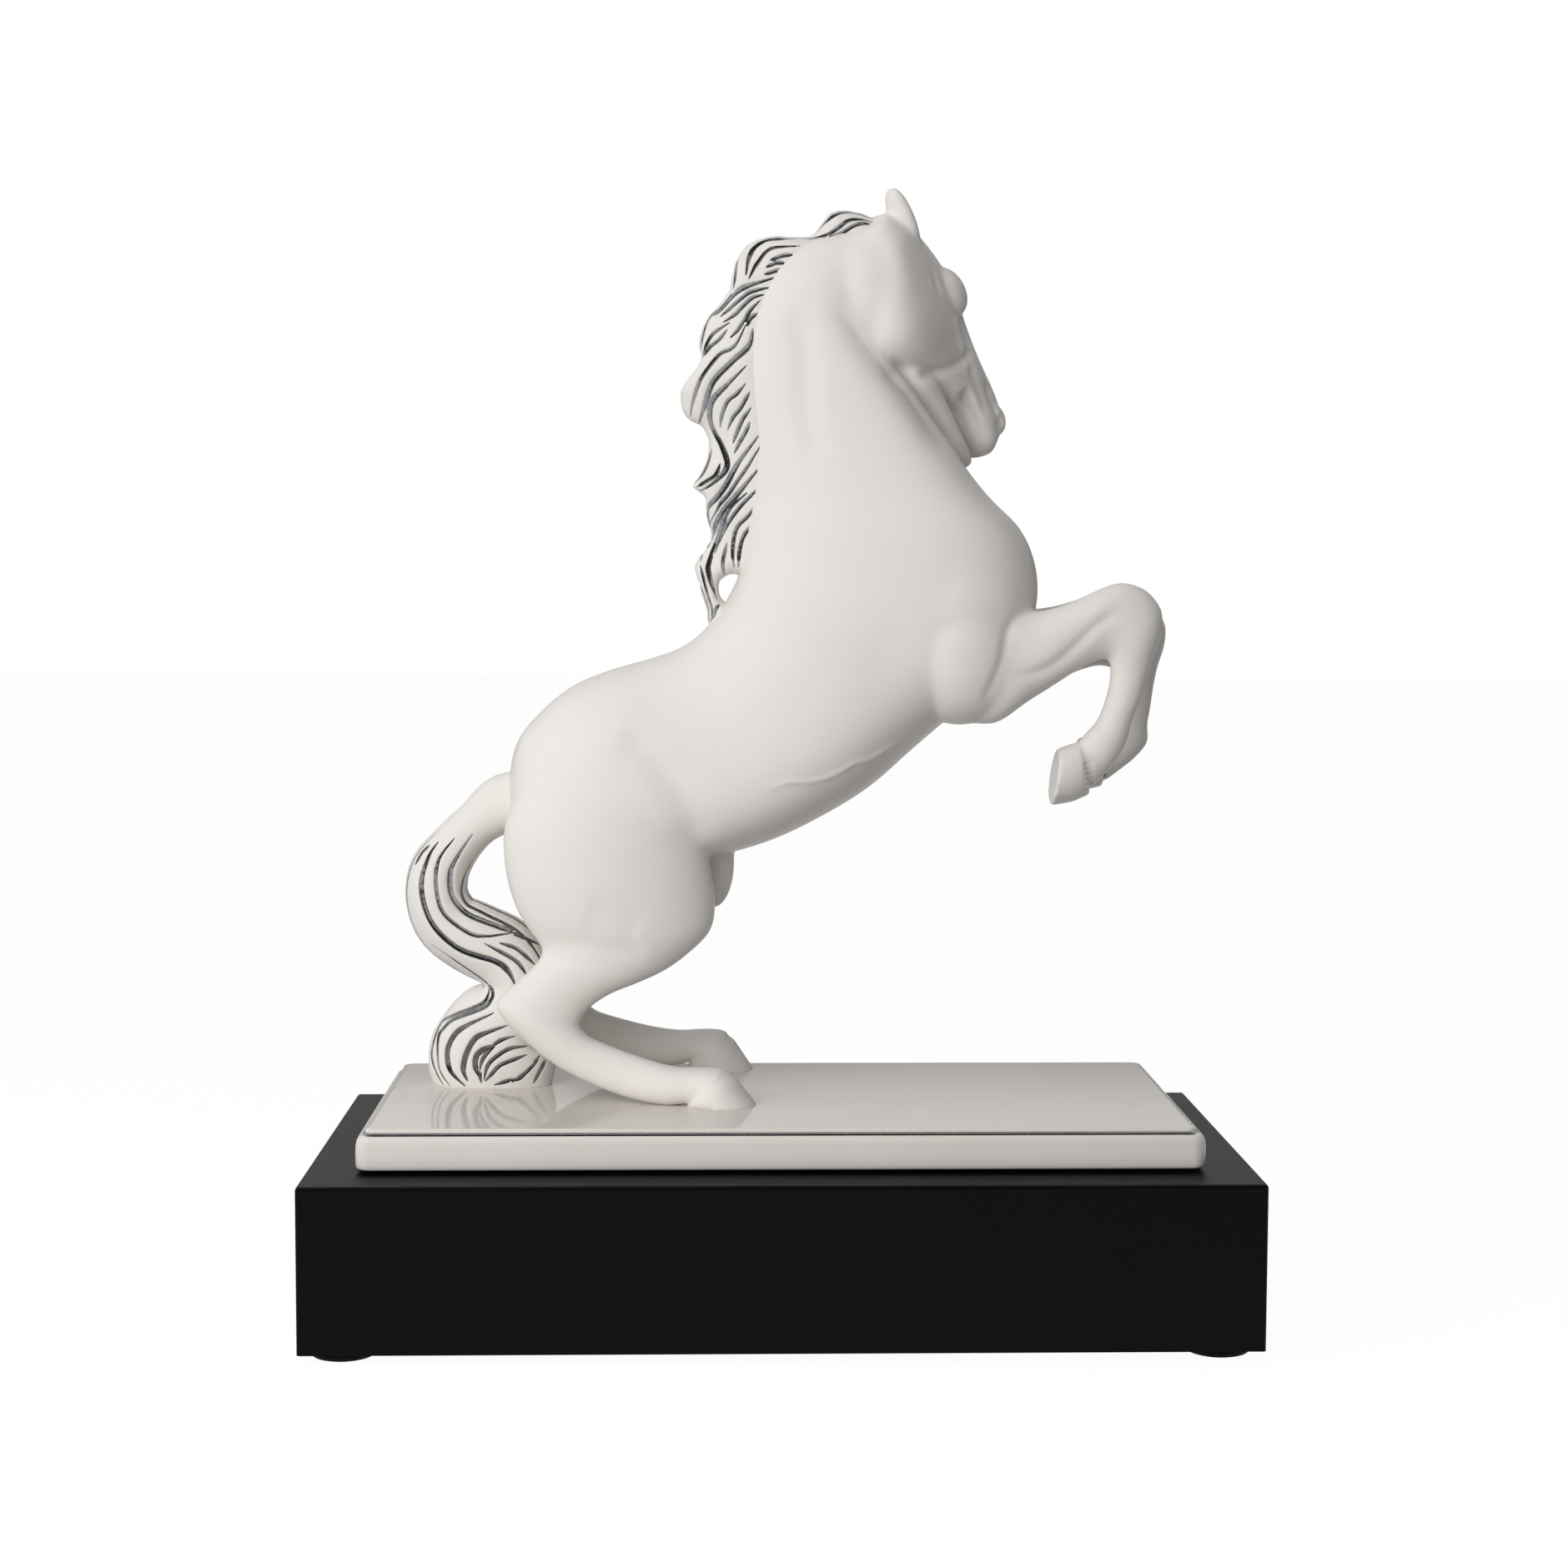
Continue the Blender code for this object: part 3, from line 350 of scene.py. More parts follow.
slab = add_piece("porcelain_slab", mesh_from(bm, "porcelain_slab"), [slab_glaze_painted_shade, silver_lustre], 50)
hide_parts("slab")

# Horse: slip-cast porcelain, luted from six castings, fettled smooth and glazed, so the seams don't show.
# Muscles, folds and veins are carved in the clay before the moulds are taken.

RIGHT = -1
LEFT = 1
FIGURE_Y = 18.0
# How deep the figure stands in the slab's glaze.
FOOTING = 0.1
SKIN_VOXEL = 0.62
SKIN_PASSES = 120
SKIN_TRIANGLES = 190000
# The share of the passes that smooth the skin in most places, and where it is softest.
SKIN_SOFTNESS = 0.35
SOFTEST = 0.95
FORM_STEPS = 4
TRUNK_SEGMENTS = 72
HEAD_SEGMENTS = 64
LEG_SEGMENTS = 48
JAW_SEGMENTS = 32
EAR_SEGMENTS = 24
# Trunk and neck: x and z of the upper line, x and z of the lower line, half width.
TRUNK = (
    (-97, 108, -93, 88, 10),
    (-94, 124, -86, 76, 21),
    (-86, 135, -73, 74, 28),
    (-74, 145, -56, 78, 32),
    (-60, 151, -38, 82, 33),
    (-46, 155, -20, 85, 32.5),
    (-34, 159.5, -3, 90, 34),
    (-26, 166, 14, 98, 36),
    (-20.5, 173, 32, 109, 37),
    (-17, 179, 48, 123, 36.5),
    (-14.5, 184.5, 61, 134, 35),
    (-13.5, 190, 75, 144, 33.5),
    (-13, 196, 88, 160, 32),
    (-12.5, 201, 92.5, 176, 31.5),
    (-11.5, 207, 91.5, 190, 30.5),
    (-10.5, 213, 86, 202, 28.5),
    (-10, 221, 76, 212, 26),
    (-9.5, 230, 68.5, 221, 23.5),
    (-10.5, 240, 61, 232, 21),
    (-12, 251, 53, 243, 19.5),
    (-12.5, 262, 46, 254, 18.5),
    (-12, 273, 39, 265, 17.5),
    (-8, 285, 33, 276, 16.5),
    (-1, 296, 31, 284, 15.5),
    (10, 304, 34, 288, 14.5),
    (24, 308, 42, 290, 13),
    (34, 309, 50, 292, 10),
)
TRUNK_EGG = 0.22
TRUNK_ROUNDNESS = 0.82
# Legs: the same, with the distance from the centreline added.
HIND_LEG = (
    (-50, 133, -76, 128, 6, 14),
    (-37, 119, -91, 111, 14, 15.5),
    (-29, 101, -97, 96, 18.5, 17.5),
    (-24.5, 84, -96.5, 80, 19, 19),
    (-22.5, 70, -93, 68, 17.5, 20),
    (-24, 60, -89, 61, 15.5, 21),
    (-31, 52.5, -85.5, 56.5, 13.5, 22),
    (-40, 46, -83.5, 53, 11.5, 23),
    (-50, 41.5, -84.5, 50, 9.8, 24.5),
    (-59, 38, -87.5, 46.5, 8.4, 25.5),
    (-66, 33.5, -92.5, 42, 7.6, 26),
    (-69.5, 29, -97, 38, 7.6, 26.5),
    (-70, 26.5, -99.5, 34, 7.8, 26.5),
)
HIND_CANNON = (
    (-68.5, 24.5, -96.5, 28.5, 7.5, 27),
    (-66, 22.5, -89, 21, 6.8, 27.5),
    (-61, 20.5, -79, 13.2, 5.8, 28.5),
    (-54, 18, -68, 7.5, 5.4, 30),
    (-47, 15.8, -58, 3.6, 5.6, 31.5),
    (-41, 14.2, -49, 1.2, 6.4, 33),
    (-35, 13.2, -40, -0.2, 7.0, 34),
    (-29, 13.2, -34, 0.4, 7.2, 34.5),
    (-22, 13.0, -31, 1.5, 8.6, 35),
    (-17.5, 11.8, -29, 2.5, 9.8, 35),
)
HIND_HOOF = (
    (-20.5, 13.0, -30.5, 4.0, 9.2),
    (-15.0, 9.4, -31.5, 2.2, 10.8),
    (-8.2, 0.4, -32.5, -1.6, 12.0),
    (-7.5, -2.5, -32.5, -3, 12.2),
)
LEFT_HIND_LIFT = 1.8
LEFT_HIND_LIFT_FROM = -90.0
LEFT_HIND_LIFT_TO = -30.0
FORELEG = (
    (74, 182, 50, 148, 11, 18),
    (84, 174, 63, 135.5, 12, 19),
    (92, 173, 75.5, 133, 11.2, 20),
    (100, 175, 87, 140.5, 9.8, 21),
    (108, 178.5, 97, 147, 8.6, 21.5),
    (114.5, 181.5, 105.5, 152.5, 7.8, 22),
    (121, 182.8, 111.5, 155.5, 7.6, 22),
    (128.6, 180.2, 114.5, 156.2, 7.8, 22),
    (134, 173.6, 116, 155.2, 7.8, 22),
)
FORE_CANNON = (
    (134.4, 165.5, 116.5, 152.5, 7.0, 22),
    (132, 157.5, 116.4, 149, 5.9, 22),
    (129.6, 149.5, 115.6, 144.5, 5.4, 22),
    (127.4, 141.5, 113.8, 138.5, 5.3, 22),
    (124.5, 134.5, 111.5, 133.6, 5.6, 22),
    (122.8, 127.5, 108.6, 130.5, 6.5, 22),
    (119.5, 121, 107, 128.6, 6.3, 22),
    (115, 115.5, 105.6, 127, 6.0, 22),
    (110.5, 110.5, 104.6, 126.2, 7.2, 22),
)
FORE_HOOF = (
    (109.5, 108.2, 105, 126.6, 8.6),
    (103.5, 105.6, 101.5, 125.6, 10.2),
    (95.5, 104.2, 98, 124.2, 11.2),
)
# Grooves that comb the hair over the fore hooves: how many, the height of the first and the way to the next.
FORE_CORONET_HAIRS = 6
FORE_CORONET_TOP = 119.6
FORE_CORONET_PITCH = 1.8
LEFT_FORE_REACH = (8.9, 1.5, -5)
# The left foreleg is folded a little less at the knee and more at the fetlock.
LEFT_FORE_CANNON = (
    (143.3, 160.5, 125.4, 147.5, 7.0, 23.5),
    (141, 152.5, 125.4, 144, 5.9, 23.5),
    (139.4, 144.8, 125.4, 139.8, 5.4, 23.5),
    (138.4, 137.1, 124.8, 134.1, 5.3, 23.5),
    (137.3, 130.5, 124.3, 129.6, 5.6, 23.5),
    (137.3, 124, 123.1, 127, 6.5, 23.5),
    (132.8, 118.2, 122, 128.1, 6.3, 23.5),
    (127.3, 113.7, 120.3, 126.8, 6.0, 23.5),
    (122, 109.7, 119.2, 126.2, 7.2, 23.5),
)
LEFT_FORE_HOOF = (
    (120.6, 107.6, 119.6, 126.5, 8.6),
    (114.2, 106.2, 116, 126.2, 10.2),
    (106, 106.3, 112.3, 125.5, 11.2),
)
SHEATH_CENTRE = (-23, 0, 82)
SHEATH_RADII = (7.5, 7, 17)
# Elbow and shoulder on each side: centre and radii.
UPPER_ARM = (((63.5, 18.5, 156), (22.5, 18, 23.5)), ((62, 16, 174), (26, 18, 26)))
# Jaw muscle that fills the near side between neck and cheek: centre and radii.
PAROTID_CENTRE = (32, -3.5, 286)
PAROTID_RADII = (18, 14.5, 23)
# Head in its own frame: u down the face from the poll, v out of the forehead, half width.
HEAD_POLL = (40.0, 4.0, 310.0)
HEAD_TURN = 38.0
HEAD_DROP = 52.0
HEAD_ROLL = -10.0
HEAD = (
    (-7, -5, -18, 8),
    (0, 0.5, -24, 12.5),
    (8, 3.6, -31, 14.3),
    (17, 6.0, -37.5, 15.2),
    (26, 7.0, -40.5, 15.6),
    (35, 6.8, -38, 14.5),
    (44, 5.4, -32, 12),
    (53, 3.8, -26, 10.6),
    (62, 2.6, -22, 9.8),
    (71, 1.8, -20.6, 9.6),
    (79, -0.6, -20.6, 9.8),
    (85, -5.5, -20.8, 8.8),
    (89, -12, -20, 6.0),
)
HEAD_ROUNDNESS = 0.8
HEAD_EGG = 0.14
LOWER_JAW = (
    (36, -24, -35, 7),
    (47, -22, -37, 8.2),
    (58, -23, -35, 7.4),
    (69, -24, -34, 7),
    (76, -24.5, -34.5, 7),
    (82, -25, -34, 6.5),
    (86, -26, -32, 5),
)
# Forehead, then orbit, nostril and cheekbone on each side: u, v and side of the centre, then the three radii.
FOREHEAD = (28, 0.5, 0, 12, 5.6, 12.5)
HEAD_MASSES = (
    (29.8, -1.9, 9.8, 9.8, 6.6, 6.4),
    (80, -9, 6.6, 6.5, 5.6, 4.0),
    (54, -8, 7, 17, 5, 4),
)
EAR_ROOT = (3.0, -4.5, 8.5)
EAR_WIDTH = 10.5
EAR_THICKNESS = 6.0
# How wide the leaf is along its length, from inside the skull to the tip.
EAR_LEAF = ((-0.3, 0.75), (0.0, 1.0), (0.3, 1.05), (0.6, 0.95), (0.85, 0.72), (0.96, 0.45), (1.0, 0.2))
# Side, length, lean back from the forehead's line and spread from the crest. The left ear is laid back.
EARS = ((RIGHT, 17.2, 75.0, 4.0), (LEFT, 14.0, 112.0, 34.0))


def flowing(rows, steps):
    """The rows, with others between them on a smooth curve through all of them."""
    made = []
    last = len(rows) - 1
    for i in range(last):
        four = (rows[max(i - 1, 0)], rows[i], rows[i + 1], rows[min(i + 2, last)])
        for step in range(steps):
            t = step / steps
            made.append(
                tuple(
                    b + t * ((c - a) + t * ((2 * a - 5 * b + 4 * c - d) + t * (3 * b - a - 3 * c + d))) / 2
                    for a, b, c, d in zip(*four)
                )
            )
    made.append(tuple(rows[-1]))
    return made


def skin_over(bm, matrices, segments, egg=0.0, roundness=1.0):
    """A closed form through a row of cross-sections, drawn in towards their +X side by egg. A roundness
    below 1 fills out their corners."""
    rings = []
    for matrix in matrices:
        made = bmesh.ops.create_circle(bm, segments=segments, radius=1.0)["verts"]
        for vert in made:
            x, y = (math.copysign(abs(c) ** roundness, c) for c in vert.co.xy)
            vert.co = matrix @ Vector((x, y * (1.0 - egg * x), 0.0))
        rings.append(made)
    ends = [ring_edges(rings[0]), ring_edges(rings[-1])]
    for first, second in zip(rings, rings[1:]):
        bmesh.ops.bridge_loops(bm, edges=ring_edges(first) + ring_edges(second))
    for end in ends:
        bmesh.ops.contextual_create(bm, geom=end)


def section(row, side=0.0):
    """The matrix that lays a unit circle between an upper and a lower point of the side view."""
    top = Vector((row[0], side, row[1]))
    foot = Vector((row[2], side, row[3]))
    across = Vector((0.0, row[4], 0.0))
    up = (top - foot) / 2
    made = Matrix((up, across, up.cross(across).normalized())).transposed().to_4x4()
    made.translation = (top + foot) / 2
    return made


def mass(bm, base, centre, radii):
    """A muscle or bone form: an ellipsoid in the given frame."""
    form = base @ Matrix.Translation(centre) @ Matrix.Diagonal((*radii, 1.0))
    bmesh.ops.create_icosphere(bm, subdivisions=4, radius=1.0, matrix=form)


def vectors_of(collection, name):
    flat = np.empty(len(collection) * 3)
    collection.foreach_get(name, flat)
    return flat.reshape(-1, 3)


def ramp(values, low, high):
    """0 below low, 1 above high, and a smooth rise between them."""
    share = np.clip((values - low) / (high - low), 0.0, 1.0)
    return share * share * (3 - 2 * share)


def grown_together(bm, name, voxel, passes, still=None):
    """The separate forms in a mesh grown into one skin and smoothed, less where still gives a lower share."""
    guide = in_scene(name, mesh_from(bm, name))
    remesh = guide.modifiers.new("fuse", "REMESH")
    remesh.mode = "VOXEL"
    remesh.voxel_size = voxel
    guide.data = settled(guide)
    guide.modifiers.clear()
    smooth = guide.modifiers.new("fettle", "SMOOTH")
    smooth.iterations = passes
    if still:
        group = guide.vertex_groups.new(name="soft")
        for index, share in enumerate(still(vectors_of(guide.data.vertices, "co"))):
            group.add([index], share, "REPLACE")
        smooth.vertex_group = group.name
    made = settled(guide)
    bpy.data.objects.remove(guide)
    return made


def settled(guide):
    """The object's mesh with its modifiers applied."""
    graph = bpy.context.evaluated_depsgraph_get()
    return bpy.data.meshes.new_from_object(guide.evaluated_get(graph))


def head_frame():
    """Columns down the face, out of the forehead and to the horse's right."""
    turn, drop = math.radians(HEAD_TURN), math.radians(HEAD_DROP)
    down_face = Vector((math.cos(drop) * math.cos(turn), math.cos(drop) * math.sin(turn), -math.sin(drop)))
    out = Vector((math.sin(drop) * math.cos(turn), math.sin(drop) * math.sin(turn), math.cos(drop)))
    right = down_face.cross(out)
    roll = Matrix.Rotation(math.radians(HEAD_ROLL), 3, down_face)
    made = Matrix((down_face, roll @ out, roll @ right)).transposed().to_4x4()
    made.translation = Vector(HEAD_POLL)
    return made


def head_section(row):
    u, v_top, v_bottom, half_width = row
    local = Matrix.Translation(Vector((u, (v_top + v_bottom) / 2, 0)))
    columns = Matrix(((0, 0, 1), ((v_top - v_bottom) / 2, 0, 0), (0, half_width, 0)))
    return head @ local @ columns.to_4x4()


def limb(bm, side, rows, hoof):
    """A leg through its rows, and its hoof as far out as the last of them."""
    skin_over(bm, [section(row, side * row[5]) for row in flowing(rows, FORM_STEPS)], LEG_SEGMENTS)
    skin_over(bm, [section(row, side * rows[-1][5]) for row in hoof], LEG_SEGMENTS)


def lifted(row):
    """A row of the left hind leg, whose fetlock stands higher than the right one's."""
    share = ((row[0] + row[2]) / 2 - LEFT_HIND_LIFT_FROM) / (LEFT_HIND_LIFT_TO - LEFT_HIND_LIFT_FROM)
    rise = LEFT_HIND_LIFT * max(0.0, min(1.0, share))
    return (row[0], row[1] + rise, row[2], row[3] + rise, *row[4:])


def hind_leg(bm, side):
    rows = [*HIND_LEG, *(HIND_CANNON if side == RIGHT else [lifted(row) for row in HIND_CANNON])]
    lift = LEFT_HIND_LIFT if side == LEFT else 0.0
    stretch = 1 + lift / HIND_HOOF[0][1]
    limb(bm, side, rows, [(r[0], r[1] * stretch, r[2], r[3] * stretch, r[4]) for r in HIND_HOOF])


def foreleg(bm, side):
    reach = LEFT_FORE_REACH if side == LEFT else (0.0, 0.0, 0.0)
    cannon, hoof = (LEFT_FORE_CANNON, LEFT_FORE_HOOF) if side == LEFT else (FORE_CANNON, FORE_HOOF)
    chest_x, knee_x = FORELEG[2][0], FORELEG[-1][0]
    rows = []
    for row in FORELEG:
        share = max(0.0, min(1.0, (row[0] - chest_x) / (knee_x - chest_x)))
        dx, dy, dz = (share * amount for amount in reach)
        rows.append((row[0] + dx, row[1] + dz, row[2] + dx, row[3] + dz, row[4], row[5] + dy))
    limb(bm, side, [*rows, *cannon], hoof)


def ear(bm, side, length, lean_back, spread):
    """A leaf that is widest a third of the way up, with its root in the skull."""
    u, v, out = EAR_ROOT
    lean = Matrix.Rotation(math.radians(lean_back), 4, "Z")
    away = Matrix.Rotation(math.radians(side * spread), 4, "Y")
    base = head @ Matrix.Translation(Vector((u, v, -side * out))) @ away @ lean
    rows = []
    for share, breadth in flowing(EAR_LEAF, FORM_STEPS):
        columns = Matrix(((0, EAR_THICKNESS / 2 * breadth, 0), (0, 0, 1), (EAR_WIDTH / 2 * breadth, 0, 0)))
        form = columns.to_4x4()
        form.translation = Vector((0, share * length, 0))
        rows.append(base @ form)
    skin_over(bm, rows, EAR_SEGMENTS)


head = head_frame()
into_head = head.inverted()
bm = bmesh.new()
trunk = [section(row) for row in flowing(TRUNK, FORM_STEPS)]
skin_over(bm, trunk, TRUNK_SEGMENTS, TRUNK_EGG, TRUNK_ROUNDNESS)
mass(bm, Matrix.Identity(4), SHEATH_CENTRE, SHEATH_RADII)
mass(bm, Matrix.Identity(4), PAROTID_CENTRE, PAROTID_RADII)
for side in (RIGHT, LEFT):
    hind_leg(bm, side)
    foreleg(bm, side)
    for (x, y, z), radii in UPPER_ARM:
        mass(bm, Matrix.Identity(4), (x, side * y, z), radii)
skull = [head_section(row) for row in flowing(HEAD, FORM_STEPS)]
skin_over(bm, skull, HEAD_SEGMENTS, HEAD_EGG, HEAD_ROUNDNESS)
skin_over(bm, [head_section(row) for row in flowing(LOWER_JAW, FORM_STEPS)], JAW_SEGMENTS)
for side in (RIGHT, LEFT):
    for u, v, out, *radii in (FOREHEAD, *HEAD_MASSES):
        mass(bm, head, (u, v, -side * out), radii)
for row in EARS:
    ear(bm, *row)


def seen_from_head(points):
    """The points in the head's own frame."""
    return points @ np.array(into_head.to_3x3()).T + np.array(into_head.translation)


def softness_at(points):
    """How much fettling each place gets: most behind the jaw and on the shoulder, least on legs and ears."""
    local = seen_from_head(points)
    x, z, u, v = points[:, 0], points[:, 2], local[:, 0], local[:, 1]
    lower_legs = np.maximum(ramp(-z, -62, -44), ramp(x, 80, 96) * ramp(-z, -195, -185))
    head_part = ramp(u, 8, 26) * ramp(z, 225, 240)
    ears = ramp(v, 0.5, 3.5) * ramp(z, 301, 305)
    shares = SKIN_SOFTNESS * np.clip(1 - 0.68 * lower_legs - 0.7 * head_part - 0.88 * ears, 0.08, 1.0)
    nape = ramp(z, 254, 268) * ramp(-u, -32, -18) * ramp(-v, 8, 16)
    shoulder = ramp(x, 26, 38) * ramp(-x, -96, -82) * ramp(z, 138, 148) * ramp(-z, -205, -190)
    return shares + (SOFTEST - shares) * np.maximum(nape, shoulder)


skin = grown_together(bm, "porcelain_horse", SKIN_VOXEL, SKIN_PASSES, softness_at)

# The sideways part of a normal from which a line is cut at its full depth.
FULLY_SIDEWAYS = 0.45
# The shares of a line's length between which its depth rises at each end.
LINE_ENDS = (-0.02, 0.18)


def measured(path, at):
    """How far each point of a view lies from a path there, and how far along it from 0 to 1."""
    path = np.array(path, dtype=float)
    lengths = np.linalg.norm(np.diff(path, axis=0), axis=1)
    starts = np.concatenate(([0.0], np.cumsum(lengths)))
    nearest = np.full(len(at), np.inf)
    share = np.zeros(len(at))
    for start, length, first, second in zip(starts, lengths, path, path[1:]):
        run = second - first
        t = np.clip((at - first) @ run / (run @ run), 0.0, 1.0)
        distance = np.linalg.norm(at - first - t[:, None] * run, axis=1)
        closer = distance < nearest
        nearest[closer] = distance[closer]
        share[closer] = ((start + t * length) / starts[-1])[closer]
    return nearest, share


class Clay:
    """The skin's points while they are carved, with the side view and the head's own view of them."""

    def __init__(self, mesh):
        self.mesh = mesh
        self.at = vectors_of(mesh.vertices, "co")
        self.out = vectors_of(mesh.vertex_normals, "vector")
        self.side_view = self.at[:, (0, 2)].copy()
        local = seen_from_head(self.at)
        self.head_view = local[:, :2].copy()
        self.head_side = local[:, 2].copy()
        self.head_out = self.out @ np.array(into_head.to_3x3()).T
        self.moved = np.zeros(len(self.at))

    def carve(self, amount, in_head, within, all_round=False):
        """Takes that much away where the skin faces sideways, away from the centreline, or all round."""
        if in_head:
            facing = self.head_out[:, 2] * np.sign(self.head_side)
        else:
            facing = self.out[:, 1] * np.sign(self.at[:, 1])
        share = 1.0 if all_round else ramp(facing, 0.0, FULLY_SIDEWAYS)
        self.moved -= amount * share * (1.0 if within is None else within)

    def line(self, path, width, depth, in_head=False, all_round=False, within=None):
        """A groove of that depth along a path, or a swelling where the depth is negative."""
        distance, share = measured(flowing(path, FORM_STEPS), self.head_view if in_head else self.side_view)
        ends = ramp(np.minimum(share, 1 - share), *LINE_ENDS)
        self.carve(depth * np.exp(-((distance / width) ** 2)) * ends, in_head, within, all_round)

    def patch(self, centre, radii, turn, depth, in_head=False, within=None):
        """A hollow or a swelling with an oval outline, turned by degrees in the view."""
        c, s = math.cos(math.radians(turn)), math.sin(math.radians(turn))
        view = self.head_view if in_head else self.side_view
        offset = (view - np.array(centre)) @ np.array(((c, -s), (s, c)))
        far = (offset[:, 0] / radii[0]) ** 2 + (offset[:, 1] / radii[1]) ** 2
        self.carve(depth * np.exp(-far), in_head, within)

    def fired(self):
        self.mesh.vertices.foreach_set("co", (self.at + self.out * self.moved[:, None]).ravel())
        self.mesh.update()


clay = Clay(skin)
near_head = (
    ramp(clay.at[:, 2], 232, 246) * ramp(clay.head_view[:, 0], -6, 4) * ramp(clay.head_view[:, 1], -44, -39)
)
body_only = 1 - near_head
# Body: folds, muscles and veins as paths and patches of the side view. Each has its points, width and depth.
BODY_LINES = (
    (((-57, 131), (-46.5, 124), (-37, 112), (-31, 102), (-26, 90)), 6.0, 1.3),
    (
        ((-6, 110), (2.4, 113.4), (10, 113.5), (18, 115.6), (26, 120), (31, 121), (37, 124.6), (45, 129)),
        1.1,
        -0.4,
    ),
    (((-84, 57), (-68.5, 56), (-57, 54.5), (-45, 55.5)), 4.0, 0.7),
    (((-68.5, 68), (-57, 65), (-48, 60.5)), 6.0, 0.5),
    (((88, 174), (82.5, 171), (79, 165), (77, 156), (73.5, 147), (70, 140)), 1.8, 0.6),
    (((119.5, 174), (111, 168.5), (105, 162.5), (98, 156), (90, 151.5), (80, 150.5)), 2.2, 0.9),
    (((4, 282), (8, 266), (9, 252), (10, 238), (14, 222)), 5.0, 1.1),
)
for path, width, depth in BODY_LINES:
    clay.line(path, width, depth, within=body_only)
# The valley behind the jaw, on the side that the head turns away from.
JAW_VALLEY = ((21, 294), (25, 280), (30.5, 268), (38, 258.5), (45, 252), (56, 237), (64, 226))
near_side = ramp(-clay.at[:, 1], 3, 8)
clay.line(JAW_VALLEY, 6.5, 2.2, within=near_side * (1 - 0.6 * near_head))
clay.patch((42, 256.5), (4, 4), 0, 0.9, within=near_side)
BODY_PATCHES = (
    ((112, 174), (9, 4), 20, -0.8),
    ((37, 157), (9, 15), -30, 0.7),
)
for centre, radii, turn, depth in BODY_PATCHES:
    clay.patch(centre, radii, turn, depth, within=body_only)
# Head: the cheek's border, the facial crest, the mouth, the nostrils and the folds round them.
HEAD_LINES = (
    (((43, -34), (47, -28), (50, -20.3), (52, -12), (52.5, -6)), 2.2, 1.6),
    (((36, -9), (46, -10), (57, -12)), 1.8, -0.8),
    (((66, -6), (71, -8.2), (76.5, -9), (82, -12), (85, -15)), 1.4, 1.0),
    (((55, -11), (62, -12), (69, -13), (75, -15)), 1.6, 0.4),
)
for path, width, depth in HEAD_LINES:
    clay.line(path, width, depth, in_head=True, within=near_head)
near_mouth = near_head * ramp(clay.head_side, 0.5, 2.5)
MOUTH = ((60, -18), (66, -18.6), (74, -19.4), (82, -20.2), (94, -21))
clay.line(MOUTH, 2.0, 3.6, True, True, near_mouth)
# The nostril and the eye.
clay.patch((82, -9.5), (3.2, 1.8), -35, 2.0, in_head=True, within=near_head)
clay.patch((21, -10.5), (4.5, 1.7), -20, 0.8, in_head=True, within=near_head)
# Hooves: the coronet stands out over the wall, with combed hair in front.
HIND_CORONET = ((-16, 13.2), (-23, 9), (-32, 3.6))
clay.line(HIND_CORONET, 1.1, 0.3, all_round=True, within=ramp(-clay.at[:, 1], 8, 12))
for step in range(FORE_CORONET_HAIRS):
    z = FORE_CORONET_TOP - FORE_CORONET_PITCH * step
    hair = ((110.2 + 0.35 * step, z - 0.2), (108.2 + 0.2 * step, z), (105.8 + 0.1 * step, z - 0.6))
    clay.line(hair, 0.5, 0.45)
clay.fired()


def ground_flat(mesh, name, height):
    """What lies above a height, closed where it is cut."""
    bm = bmesh.new()
    bm.from_mesh(mesh)
    geometry = [*bm.verts, *bm.edges, *bm.faces]
    bmesh.ops.bisect_plane(bm, geom=geometry, plane_co=(0, 0, height), plane_no=(0, 0, 1), clear_inner=True)
    bmesh.ops.holes_fill(bm, edges=[edge for edge in bm.edges if edge.is_boundary])
    return mesh_from(bm, name)


def on_slab(sunk=0.0):
    """The way from the figure's frame to its place on the slab."""
    return Matrix.Translation((0, FIGURE_Y * MM, (slab_top - sunk) * MM)) @ Matrix.Scale(MM, 4)


skin.transform(on_slab(FOOTING))
skin = ground_flat(skin, "porcelain_horse", slab_top * MM - FOOTING * MM)
horse = add_piece("porcelain_horse", skin, [glazed_porcelain])
thin = horse.modifiers.new("thin", "DECIMATE")
thin.ratio = min(1.0, SKIN_TRIANGLES / sum(len(face.vertices) - 2 for face in skin.polygons))
horse.data = settled(horse)
horse.modifiers.clear()
CASTINGS = ("body", "head_and_neck", "foreleg_right", "foreleg_left", "hind_leg_right", "hind_leg_left")
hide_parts(*CASTINGS)

# Mane: press-moulded locks of porcelain luted to the crest. Grooves are combed into the clay, and silver
# lustre is painted into them after the glaze firing, so each strand is a white ridge between dark lines.

